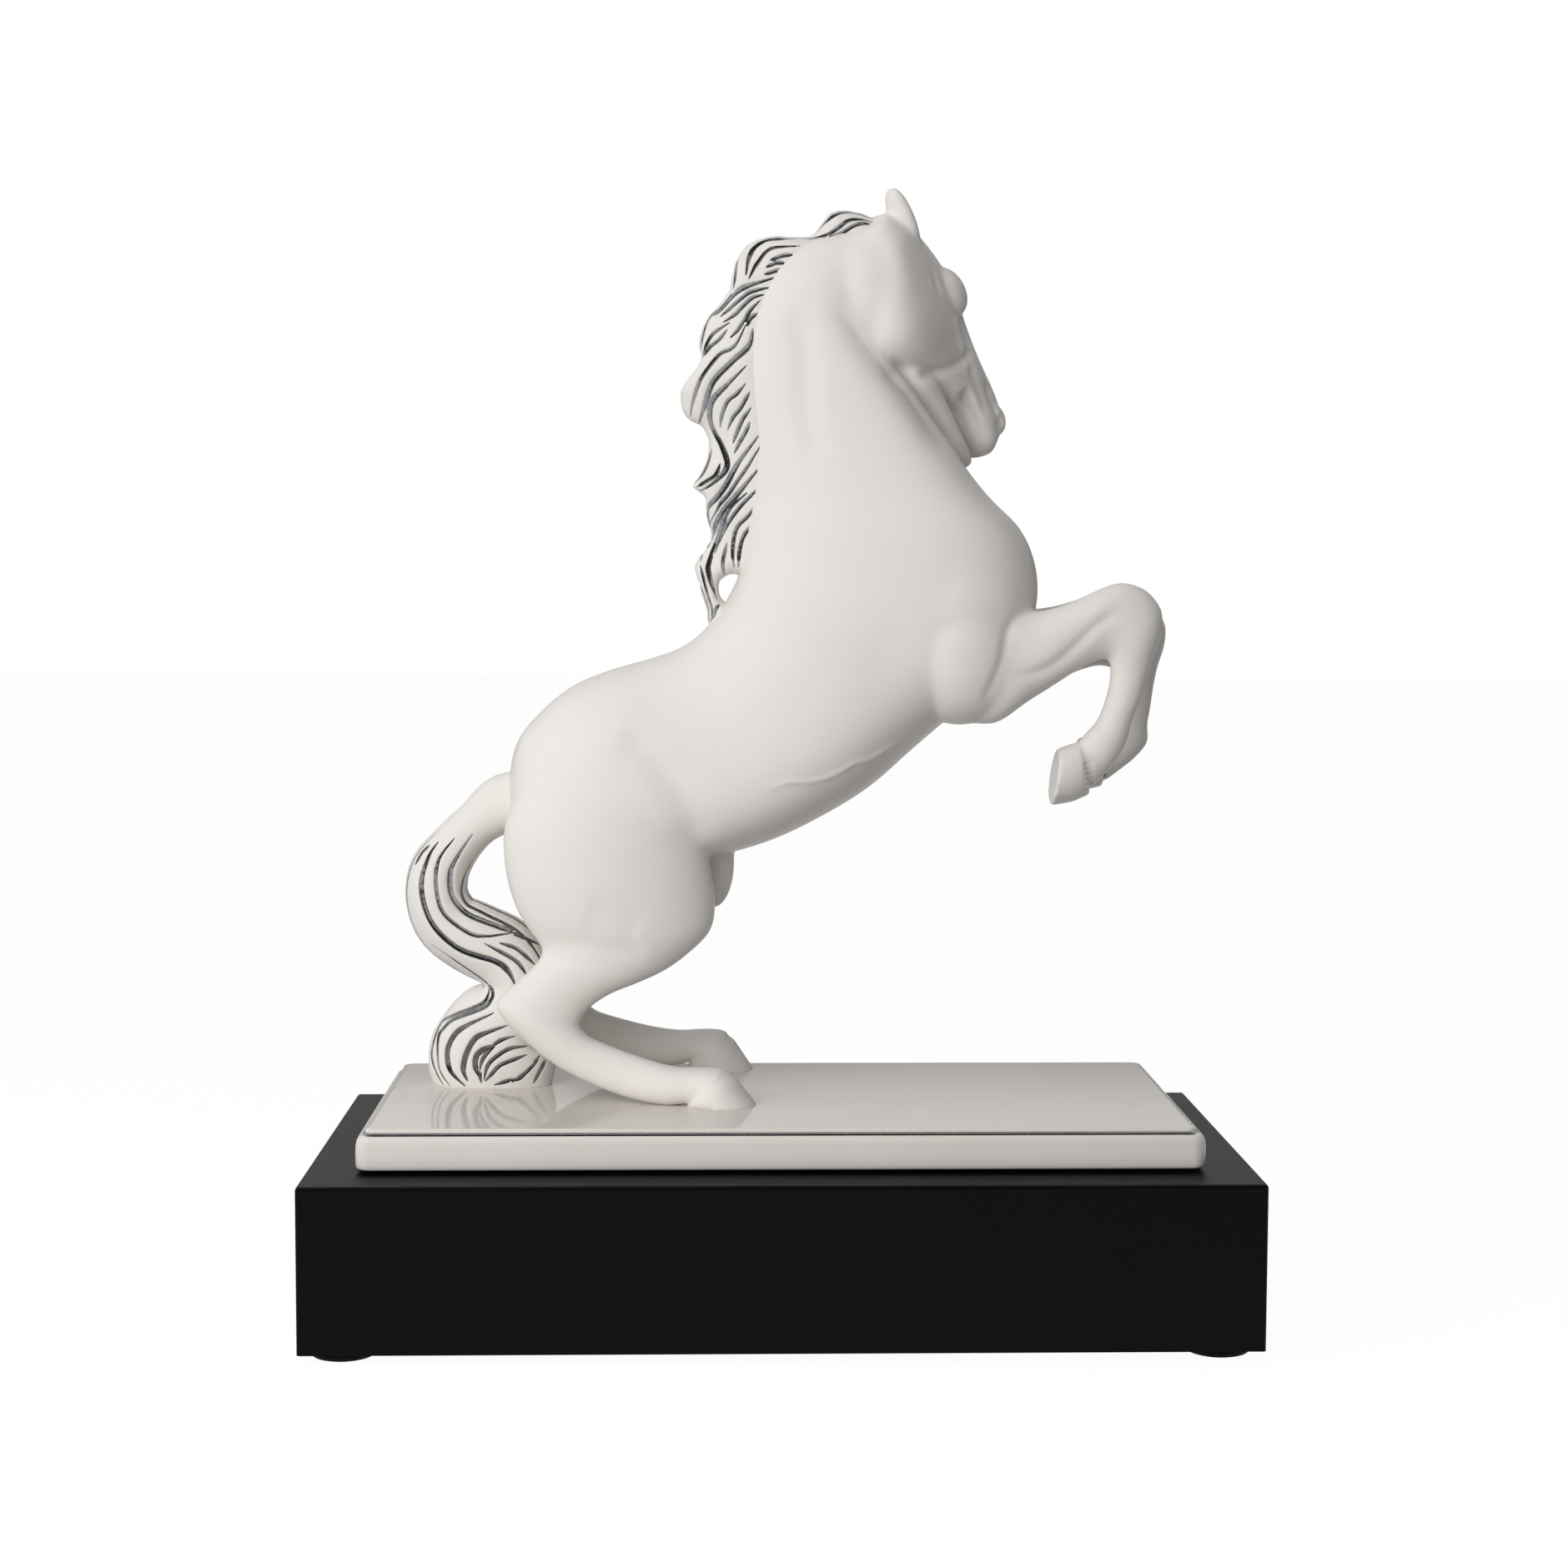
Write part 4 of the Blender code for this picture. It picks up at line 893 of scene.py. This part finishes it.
MANE_OUTLINE = (
    (37, 309.5), (33.5, 311), (29, 313), (24, 314), (21, 314), (17.5, 313), (15, 309.5), (13, 306.5),
    (10.5, 304.5), (7, 304.5), (3, 304.5), (-1, 305), (-4.5, 304.5), (-8.5, 303.5), (-12, 301.5),
    (-14.5, 298), (-16, 294.5), (-17, 290), (-17.5, 286), (-21, 281), (-25, 277), (-27, 273.5), (-28.5, 269),
    (-28.5, 265.5), (-27.5, 262.5), (-29, 258.5), (-31, 256), (-33.5, 253), (-35, 250), (-35, 247),
    (-34.5, 243.5), (-33, 241), (-31, 239.5), (-27.5, 238), (-26, 235.5), (-25, 233), (-25, 230),
    (-25.5, 227), (-26.5, 224), (-28.5, 220), (-31, 216.5), (-29.5, 215), (-27, 213.5), (-26, 212),
    (-26, 206.5), (-25.5, 204), (-24.5, 201.5), (-24, 199.5), (-24.5, 197), (-26, 195), (-28, 192),
    (-29, 190), (-30, 188.5), (-30, 186), (-28.5, 181.5), (-27.5, 178), (-26.5, 175), (-25.5, 172),
    (-25.5, 169), (-25, 167.5),
)
# The side that lies inside the neck, back up to the poll.
MANE_INSIDE = (
    (-21, 164), (-12, 170), (-4, 184), (2, 200), (4, 220), (4, 240), (2, 258), (4, 274), (14, 288), (30, 298),
    (38, 305),
)
MANE_WINDOW = (
    (-16.5, 185.5), (-19, 184.5), (-21, 183), (-21.5, 180.5), (-21, 177.5), (-20, 176), (-18.5, 175),
    (-14, 174), (-10, 178), (-11, 184),
)
MANE_ROOT = (
    (36.5, 309.5), (23, 305), (7, 301), (1, 292.5), (-5, 284), (-9.5, 272.5), (-11.5, 256), (-9.5, 242),
    (-6.5, 226), (-7.5, 211), (-11, 197.5), (-14, 186), (-20.5, 173), (-25, 168),
)
# Deep grooves between the locks, then the finer ones within them, from the root to the tip.
MANE_PARTINGS = (
    ((36, 309), (31, 311.5), (26, 313), (22, 313), (18.5, 311.5), (15.5, 309), (13, 306)),
    ((6.5, 303.5), (1, 303.5), (-3.5, 303.5), (-6.5, 302.5), (-9.5, 300), (-11, 296.5), (-12, 290.5)),
    ((-1.5, 289.5), (-10, 287), (-15.5, 284.5), (-21.5, 278.5), (-24.5, 277), (-26.5, 273), (-28, 265)),
    ((-9.5, 271.5), (-11, 265.5), (-17, 260), (-23.5, 253), (-26.5, 245), (-28.5, 238.5)),
    (
        (-12, 258.5), (-18.5, 252), (-24, 246), (-24.5, 238.5), (-20.5, 230.5), (-18.5, 224), (-21.5, 219),
        (-28, 214.5),
    ),
    ((-7.5, 234), (-15, 224), (-19, 216.5), (-22, 212.5), (-25.5, 208.5), (-24.5, 202.5)),
    ((-7, 223), (-14.5, 214), (-21.5, 205.5), (-24.5, 197), (-27, 193.5), (-28, 190)),
    ((-11.5, 214), (-18, 208), (-21.5, 199.5), (-25, 189.5), (-25, 185.5), (-23.5, 181), (-22, 176.5)),
    ((-30, 188), (-29.5, 184.5), (-27.5, 179), (-25.5, 173), (-25, 168)),
)
MANE_STRANDS = (
    ((33, 309), (28, 310), (24, 309.5), (20.5, 307), (16.5, 304.5), (12, 303.5), (6.5, 303.5)),
    ((32.5, 308), (29, 308.5), (25.5, 307.5), (21.5, 305), (17, 303.5)),
    ((7, 300.5), (-2, 300), (-5, 298.5), (-7, 296), (-9, 293), (-11, 289)),
    ((4.5, 297.5), (0.5, 297), (-3.5, 295.5)),
    ((2, 294.5), (-1.5, 294.5), (-5, 293)),
    ((1, 292.5), (-2.5, 291.5), (-5.5, 290.5)),
    ((-3.5, 286), (-8.5, 285), (-12, 283.5), (-18, 278.5), (-21, 276)),
    ((-5.5, 283.5), (-9.5, 282.5), (-12.5, 280), (-16, 276.5), (-20, 274)),
    ((-7, 281.5), (-10.5, 278), (-12.5, 274.5), (-15, 271), (-17.5, 268.5)),
    ((-8, 277), (-10.5, 275), (-11.5, 272.5)),
    ((-12, 301), (-14.5, 298), (-15.5, 294), (-16, 289.5), (-16.5, 285.5)),
    ((-17.5, 274), (-22.5, 271), (-24.5, 269), (-26, 266), (-27.5, 262)),
    ((-18.5, 271.5), (-21.5, 268), (-24.5, 265.5), (-27, 262)),
    (
        (-12, 273), (-15, 267), (-17.5, 264.5), (-21.5, 262.5), (-27, 255.5), (-29, 251.5), (-31, 245),
        (-31.5, 241),
    ),
    ((-12, 252.5), (-15, 249), (-18.5, 246), (-20.5, 241), (-21, 237)),
    ((-10.5, 249.5), (-12, 247), (-14, 243.5), (-16.5, 240.5), (-18.5, 236)),
    ((-10, 244), (-13, 240), (-15, 235.5), (-16.5, 231.5)),
    ((-10.5, 239), (-12, 235.5), (-14, 232), (-16, 228)),
    ((-6.5, 231), (-11.5, 223), (-15, 218), (-18, 213.5), (-21, 210), (-24.5, 203.5)),
    ((-6.5, 216.5), (-14, 209), (-19.5, 201), (-23, 192.5)),
    ((-7.5, 211), (-11, 206), (-14.5, 202.5), (-16, 198.5), (-16.5, 192.5), (-16, 187.5)),
    ((-9, 203.5), (-12.5, 199), (-14, 194), (-14.5, 187.5)),
    ((-18.5, 196.5), (-19.5, 192.5), (-20, 189), (-19.5, 185)),
    ((-24, 230), (-25.5, 224.5), (-27.5, 220.5), (-30.5, 217)),
    ((-21, 224.5), (-22.5, 220.5), (-26, 218), (-29.5, 216)),
    ((-28, 188.5), (-27, 184), (-25.5, 178), (-24, 173), (-24, 169)),
    ((-21, 174.5), (-22.5, 173), (-23, 171), (-24.5, 168.5)),
    ((-26, 212.5), (-26, 207.5), (-25, 203.5), (-24, 199.5)),
)
# The plate's half thickness, the rounding of its edge, and its half thickness at the root and at the tips.
MANE_RIM = 1.2
MANE_ROUND = 5.5
MANE_ROOT_DEPTH = 8.5
MANE_EDGE_DEPTH = 4.0
MANE_WIDTH = 22.0
# How far the locks sway, and how long a wave is along z and x.
MANE_SWAY = 2.6
SWAY_ALONG = 6.5
SWAY_ACROSS = 9.0
MANE_VOXEL = 0.7
MANE_PASSES = 2
HAIR_VOXEL = 0.45
HAIR_PASSES = 4
# Width and depth of a groove between locks, and of one within them.
MANE_PARTING = (1.15, 1.7)
MANE_STRAND = (0.8, 0.9)
# How far apart a stroke's points lie, and how far out the rays start that lay them on the hair.
STROKE_STEP = 0.3
RAY_START = 80.0
# The widths of a groove between which the hair rises to its full height.
RIDGE_REACH = 2.1


def maths(tree, operation, *terms):
    """The result of an operation on numbers or outputs."""
    sockets = dict(enumerate(terms))
    return add_node(tree, "ShaderNodeMath", {"operation": operation}, sockets).outputs["Value"]


# Lustred porcelain: the same glaze, with silver lustre wherever the point lies near a combed groove.
lustred_porcelain, tree, place = new_finish("lustred_porcelain")
groove = add_node(tree, "ShaderNodeAttribute", {"attribute_name": "lustre"}).outputs["Fac"]
wavered = maths(tree, "MULTIPLY_ADD", noise(tree, place, 1.6, 4.0), 0.1, groove)
painted = ranged(tree, wavered, 0.0, 1.0, 0.48, 0.64, "SMOOTHSTEP")
silver = mixed(tree, noise(tree, place, 2.0, 5.0), LUSTRE_DARK, LUSTRE_PALE)
white = mixed(tree, noise(tree, place, CAST_GRAIN), PORCELAIN_LIGHT, PORCELAIN_WARM)
sockets = {
    "Base Color": mixed(tree, painted, white, silver),
    "Metallic": painted,
    "Roughness": ranged(tree, painted, 0.42, 0.24),
    "Specular IOR Level": 0.3,
    "Coat Weight": 0.08,
    "Coat Roughness": 0.12,
}
close_finish(tree, sockets)


def plate(bm, outlines, half):
    """A flat plate in the side view, with the first outline as its edge and the others as windows in it."""
    edges = []
    for outline in outlines:
        verts = [bm.verts.new((x, -half, z)) for x, z in outline]
        edges += [bm.edges.new((verts[i - 1], vert)) for i, vert in enumerate(verts)]
    faces = bmesh.ops.triangle_fill(bm, use_beauty=True, edges=edges)["geom"]
    faces = [item for item in faces if isinstance(item, bmesh.types.BMFace)]
    raised = bmesh.ops.extrude_face_region(bm, geom=faces)["geom"]
    moved = [item for item in raised if isinstance(item, bmesh.types.BMVert)]
    bmesh.ops.translate(bm, verts=moved, vec=(0, 2 * half, 0))


def comb(mesh, strokes):
    """Presses grooves into hair along strokes of its surface and marks how near each point is to one."""
    tree = KDTree(sum(len(points) for points, _, _ in strokes))
    reach = []
    for points, width, depth in strokes:
        for i, point in enumerate(points):
            share = i / (len(points) - 1)
            taper = min(1.0, 0.25 + 3.2 * min(share, 1 - share))
            tree.insert(point, len(reach))
            reach.append((width * taper, depth * taper))
    tree.balance()
    at = vectors_of(mesh.vertices, "co")
    out = vectors_of(mesh.vertex_normals, "vector")
    near = np.array([tree.find(point)[1:] for point in at])
    widths, depths = np.array(reach)[near[:, 0].astype(int)].T
    distance = near[:, 1]
    rounded = np.clip(distance / (RIDGE_REACH * widths), 0.0, 1.0)
    ridge = np.sqrt(1 - (1 - rounded) ** 2)
    at -= out * (depths * (1 - ridge))[:, None]
    mesh.vertices.foreach_set("co", at.ravel())
    mark = mesh.attributes.new("lustre", "FLOAT", "POINT")
    mark.data.foreach_set("value", np.clip(1 - 0.5 * distance / widths, 0.0, 1.0))
    mesh.update()


def surface_of(mesh):
    return BVHTree.FromPolygons([v.co for v in mesh.vertices], [p.vertices for p in mesh.polygons])


def on_sides(mesh, paths, width, depth):
    """Strokes drawn in the side view, laid on both sides of the mesh."""
    surface = surface_of(mesh)
    made = []
    for side in (RIGHT, LEFT):
        for path in paths:
            length = sum(math.dist(a, b) for a, b in zip(path, path[1:]))
            steps = max(2, round(length / STROKE_STEP / (len(path) - 1)))
            points = []
            for x, z in flowing(path, steps):
                hit = surface.ray_cast(Vector((x, side * RAY_START, z)), Vector((0, -side, 0)))[0]
                if hit:
                    points.append(hit)
            if len(points) > 3:
                made.append((points, width, depth))
    return made


bm = bmesh.new()
plate(bm, ((*MANE_OUTLINE, *MANE_INSIDE), MANE_WINDOW), MANE_RIM)
mane_mesh = grown_together(bm, "mane", MANE_VOXEL, MANE_PASSES)
at = vectors_of(mane_mesh.vertices, "co")
out = vectors_of(mane_mesh.vertex_normals, "vector")
view = at[:, (0, 2)]
edge = np.minimum(measured(MANE_OUTLINE, view)[0], measured((*MANE_WINDOW, MANE_WINDOW[0]), view)[0])
from_root, _ = measured(MANE_ROOT, view)
full = MANE_ROOT_DEPTH + (MANE_EDGE_DEPTH - MANE_ROOT_DEPTH) * ramp(from_root, 0.0, MANE_WIDTH)
pillow = MANE_RIM + (full - MANE_RIM) * np.sqrt(1 - (1 - np.clip(edge / MANE_ROUND, 0.0, 1.0)) ** 2)
flat = ramp(np.abs(out[:, 1]), 0.3, 0.7)
at[:, 1] += np.sign(at[:, 1]) * flat * (pillow - MANE_RIM)
# The locks sway from side to side, each a little against the next.
away = ramp(from_root, 2.0, MANE_WIDTH)
at[:, 1] += MANE_SWAY * away * np.sin(view[:, 1] / SWAY_ALONG + view[:, 0] / SWAY_ACROSS)
mane_mesh.vertices.foreach_set("co", at.ravel())
mane_mesh.update()
bm = bmesh.new()
bm.from_mesh(mane_mesh)
mane_mesh = grown_together(bm, "lustred_mane", HAIR_VOXEL, HAIR_PASSES)
strokes = on_sides(mane_mesh, MANE_PARTINGS, *MANE_PARTING) + on_sides(mane_mesh, MANE_STRANDS, *MANE_STRAND)
comb(mane_mesh, strokes)
mane_mesh.transform(on_slab())
mane = add_piece("lustred_mane", mane_mesh, [lustred_porcelain])
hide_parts("mane")

# Tail: cast separately, luted under the dock and again where it rests on the slab, so it props the figure up.
# Its hair is combed and lustred as the mane is.

# From the dock to where it rests on the slab: centre x and z, half depth, half width, side.
TAIL = (
    (-86, 104.5, 10.5, 9, 0),
    (-98, 102.5, 11, 9, 0),
    (-107, 96.5, 8.6, 8.5, 0),
    (-115, 88.5, 9, 9.5, 1),
    (-121.5, 79, 10.8, 10.5, 1),
    (-122.8, 69, 11.4, 11, 1.5),
    (-118.5, 59.5, 12.4, 11.5, 2),
    (-109, 53.5, 13.4, 12, 2),
    (-98.5, 48, 13.6, 12, 2),
    (-92.5, 39, 13, 12, 2),
    (-95, 30, 13.5, 12, 3),
    (-101, 22, 18, 12, 4),
    (-103.5, 13.5, 22.5, 12, 4),
    (-103, 6, 23, 11.5, 4),
    (-102.5, 0, 21, 10, 4),
    (-102.5, -5, 19, 8, 4),
)
TAIL_SEGMENTS = 48
TAIL_PASSES = 6
TAIL_PARTING = (1.15, 1.8)
TAIL_STRAND = (0.8, 1.0)
TAIL_PARTINGS = (
    (
        (-121.5, 89.5), (-125, 84), (-127.5, 73.5), (-124, 61), (-114.5, 51.5), (-101.5, 47), (-97.5, 44.5),
        (-95, 41), (-94, 38),
    ),
    (
        (-109, 92.5), (-115.5, 82.5), (-117, 77), (-116.5, 71), (-114, 66.5), (-109.5, 63), (-97, 58),
        (-87, 53), (-83, 50.5),
    ),
    ((-102, 28), (-112, 23), (-116, 20), (-118.5, 15.5), (-119, 11), (-117.5, 6), (-112.5, 1)),
    ((-97, 23.5), (-106.5, 20), (-109.5, 17.5), (-112, 12.5), (-113, 7), (-111.5, 3)),
    ((-101, 16.5), (-105, 15), (-108, 12.5), (-108.5, 8.5), (-107, 5.5), (-106.5, 2.5)),
)
TAIL_STRANDS = (
    ((-124.5, 88.5), (-127.5, 85.5), (-130, 81)),
    ((-115.5, 91), (-121, 83.5), (-122, 74.5), (-119.5, 64.5), (-111, 57.5), (-104.5, 56), (-94, 57)),
    ((-99.5, 53.5), (-94.5, 52), (-91, 49.5), (-87, 45.5)),
    ((-105, 53.5), (-96.5, 49), (-92.5, 46), (-90, 42)),
    (
        (-124, 52.5), (-114, 45.5), (-105.5, 39), (-102.5, 35.5), (-103, 32.5), (-106, 29.5), (-116.5, 25),
        (-120.5, 21.5), (-122.5, 17.5), (-122, 7), (-118, 0.5),
    ),
    (
        (-104, 38), (-104, 34.5), (-106.5, 31), (-117.5, 26), (-122, 22.5), (-125, 13), (-124, 7),
        (-120.5, 0.5),
    ),
    ((-94, 19.5), (-99.5, 18), (-103, 15), (-106, 11), (-107, 7)),
    ((-90, 15.5), (-96, 15), (-100.5, 12.5), (-104, 9), (-105.5, 3.5)),
    ((-90, 12.5), (-94.5, 11), (-99.5, 9), (-102.5, 6), (-105, 3)),
    ((-88, 9), (-92.5, 4), (-97, 3), (-102, 1.5)),
    ((-85.5, 12), (-88, 8.5), (-91, 5.5), (-95.5, 2.5)),
    ((-83.5, 10), (-85, 7), (-88, 1.5)),
)
# Strands on the front and the back of the tail: their angle round it, in degrees from its outer side.
TAIL_EDGE_STRANDS = (-26, 0, 26, 154, 180, 206)
TAIL_TWIST = 40.0
# The first and last cross-sections that they run between.
TAIL_EDGE_FIRST = 12
TAIL_EDGE_LAST = 38


def path_frames(rows):
    """Cross-section matrices along the tail, with the depth in the plane of the side view."""
    frames = []
    points = [Vector((x, side, z)) for x, z, _, _, side in rows]
    for i, point in enumerate(points):
        run = (points[min(i + 1, len(points) - 1)] - points[max(i - 1, 0)]).normalized()
        across = Vector((0.0, 1.0, 0.0))
        across = (across - run * across.dot(run)).normalized()
        columns = (across.cross(run) * rows[i][2], across * rows[i][3], run)
        made = Matrix(columns).transposed().to_4x4()
        made.translation = point
        frames.append(made)
    return frames


bm = bmesh.new()
tail_frames = path_frames(flowing(TAIL, FORM_STEPS))
skin_over(bm, tail_frames, TAIL_SEGMENTS)
tail_mesh = grown_together(bm, "tail", HAIR_VOXEL, TAIL_PASSES)
strokes = on_sides(tail_mesh, TAIL_PARTINGS, *TAIL_PARTING) + on_sides(tail_mesh, TAIL_STRANDS, *TAIL_STRAND)
surface = surface_of(tail_mesh)
for degrees in TAIL_EDGE_STRANDS:
    points = []
    for i, made in enumerate(tail_frames[TAIL_EDGE_FIRST:TAIL_EDGE_LAST]):
        angle = math.radians(degrees + TAIL_TWIST * i / len(tail_frames))
        rim = made @ Vector((math.cos(angle), math.sin(angle), 0.0))
        points.append(tuple(surface.find_nearest(rim)[0]))
    strokes.append(([Vector(point) for point in flowing(points, 8)], *TAIL_STRAND))
comb(tail_mesh, strokes)
tail_mesh = ground_flat(tail_mesh, "lustred_tail", 0.0)
tail_mesh.transform(on_slab())
tail = add_piece("lustred_tail", tail_mesh, [lustred_porcelain])
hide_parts("tail")

# Studio: a white sweep under the figure, one large soft lamp from the upper left, and a darker room behind
# the camera. The camera stands where the photograph's edges put it.

CAMERA_AT = (-0.0258, -0.9457, 0.2592)
CAMERA_YAW = 0.0291
CAMERA_PITCH = 0.0772
CAMERA_ROLL = 0.0036
CAMERA_LENS = 61.6
CAMERA_SENSOR = 36.0
FLOOR_SIZE = 12.0
KEY_AT = (-0.56, -0.8, 0.52)
KEY_AIM = (0.0, 0.0, 0.18)
KEY_SIZE = 0.8
KEY_WATTS = 8.0
# The room's light comes from a window wall on the upper left, and is this bright there and opposite it.
WINDOW_WAY = (-0.45, -0.6, 0.66)
WINDOW_SIDE = 0.45
FAR_SIDE = 0.03
SHADOW_SHARE = 0.2
SWEEP_GLOW = 1.2
WHITE = (1.0, 1.0, 1.0, 1.0)


def rays(tree):
    """Whether a ray comes from the camera, and whether from a gloss or a glass."""
    ray = add_node(tree, "ShaderNodeLightPath").outputs
    return ray["Is Camera Ray"], maths(tree, "MAXIMUM", ray["Is Glossy Ray"], ray["Is Transmission Ray"])


world = bpy.data.worlds.new("studio")
bpy.context.scene.world = world
world.use_nodes = True
tree = world.node_tree
tree.nodes.clear()
from_camera, mirrored = rays(tree)
way = add_node(tree, "ShaderNodeTexCoord").outputs["Generated"]
split = add_node(tree, "ShaderNodeSeparateXYZ", None, {"Vector": way}).outputs
towards_room = ranged(tree, split["Y"], 0.05, 1.0, -0.75, 0.15, "SMOOTHSTEP")
# Behind the sweep the room is dark near the horizon, which only a gloss seen at a low angle shows.
above_horizon = ranged(tree, split["Z"], 0.1, 1.0, 0.172, 0.198, "SMOOTHSTEP")
behind = ranged(tree, split["Y"], 0.0, 1.0, 0.5, 0.85, "SMOOTHSTEP")
far_room = mixed(tree, behind, towards_room, above_horizon, "FLOAT")
to_window = add_node(tree, "ShaderNodeVectorMath", {"operation": "DOT_PRODUCT"}, {0: way, 1: WINDOW_WAY})
room_light = ranged(tree, to_window.outputs["Value"], FAR_SIDE, WINDOW_SIDE, -0.6)
for_mirrors = mixed(tree, mirrored, room_light, far_room, "FLOAT")
strength = mixed(tree, from_camera, for_mirrors, 1.0, "FLOAT")
background = add_node(tree, "ShaderNodeBackground", None, {"Color": WHITE, "Strength": strength})
add_node(tree, "ShaderNodeOutputWorld", None, {"Surface": background.outputs["Background"]})

# Paper sweep: matt white. Seen directly or in a gloss it is as white as the background, but for the shadow.
sweep_paper, tree, place = new_finish("sweep_paper")
tone = mixed(tree, noise(tree, place, 1.0), "9c9c9c", "a4a4a4")
paper = add_node(tree, "ShaderNodeBsdfDiffuse", None, {"Color": tone}).outputs["BSDF"]
glow = add_node(tree, "ShaderNodeEmission", None, {"Color": WHITE, "Strength": SWEEP_GLOW}).outputs[0]
share = maths(tree, "MULTIPLY", maths(tree, "MAXIMUM", *rays(tree)), 1 - SHADOW_SHARE)
close_finish(tree, {0: share, 1: paper, 2: glow}, "ShaderNodeMixShader")
bm = bmesh.new()
bmesh.ops.create_grid(bm, x_segments=8, y_segments=8, size=FLOOR_SIZE / 2)
floor_mesh = mesh_from(bm, "paper_sweep")
floor_mesh.materials.append(sweep_paper)
floor = in_scene("paper_sweep", floor_mesh)

key = bpy.data.lights.new("key_softbox", "AREA")
key.shape = "SQUARE"
key.size = KEY_SIZE
key.energy = KEY_WATTS
lamp = in_scene("key_softbox", key)
lamp.location = KEY_AT
lamp.rotation_euler = (Vector(KEY_AIM) - Vector(KEY_AT)).to_track_quat("-Z", "Y").to_euler()
lamp.visible_glossy = False

lens = bpy.data.cameras.new("camera")
lens.lens = CAMERA_LENS
lens.sensor_width = CAMERA_SENSOR
lens.sensor_fit = "HORIZONTAL"
level = math.cos(CAMERA_PITCH)
forward = Vector((math.sin(CAMERA_YAW) * level, math.cos(CAMERA_YAW) * level, -math.sin(CAMERA_PITCH)))
right = Vector((math.cos(CAMERA_YAW), -math.sin(CAMERA_YAW), 0.0))
up = right.cross(forward)
turned_right = right * math.cos(CAMERA_ROLL) + up * math.sin(CAMERA_ROLL)
turned_up = up * math.cos(CAMERA_ROLL) - right * math.sin(CAMERA_ROLL)
camera = in_scene("camera", lens)
turned = Matrix((turned_right, turned_up, -forward)).transposed().to_4x4()
camera.matrix_world = Matrix.Translation(CAMERA_AT) @ turned
bpy.context.scene.camera = camera
bpy.context.scene.view_settings.view_transform = "Standard"
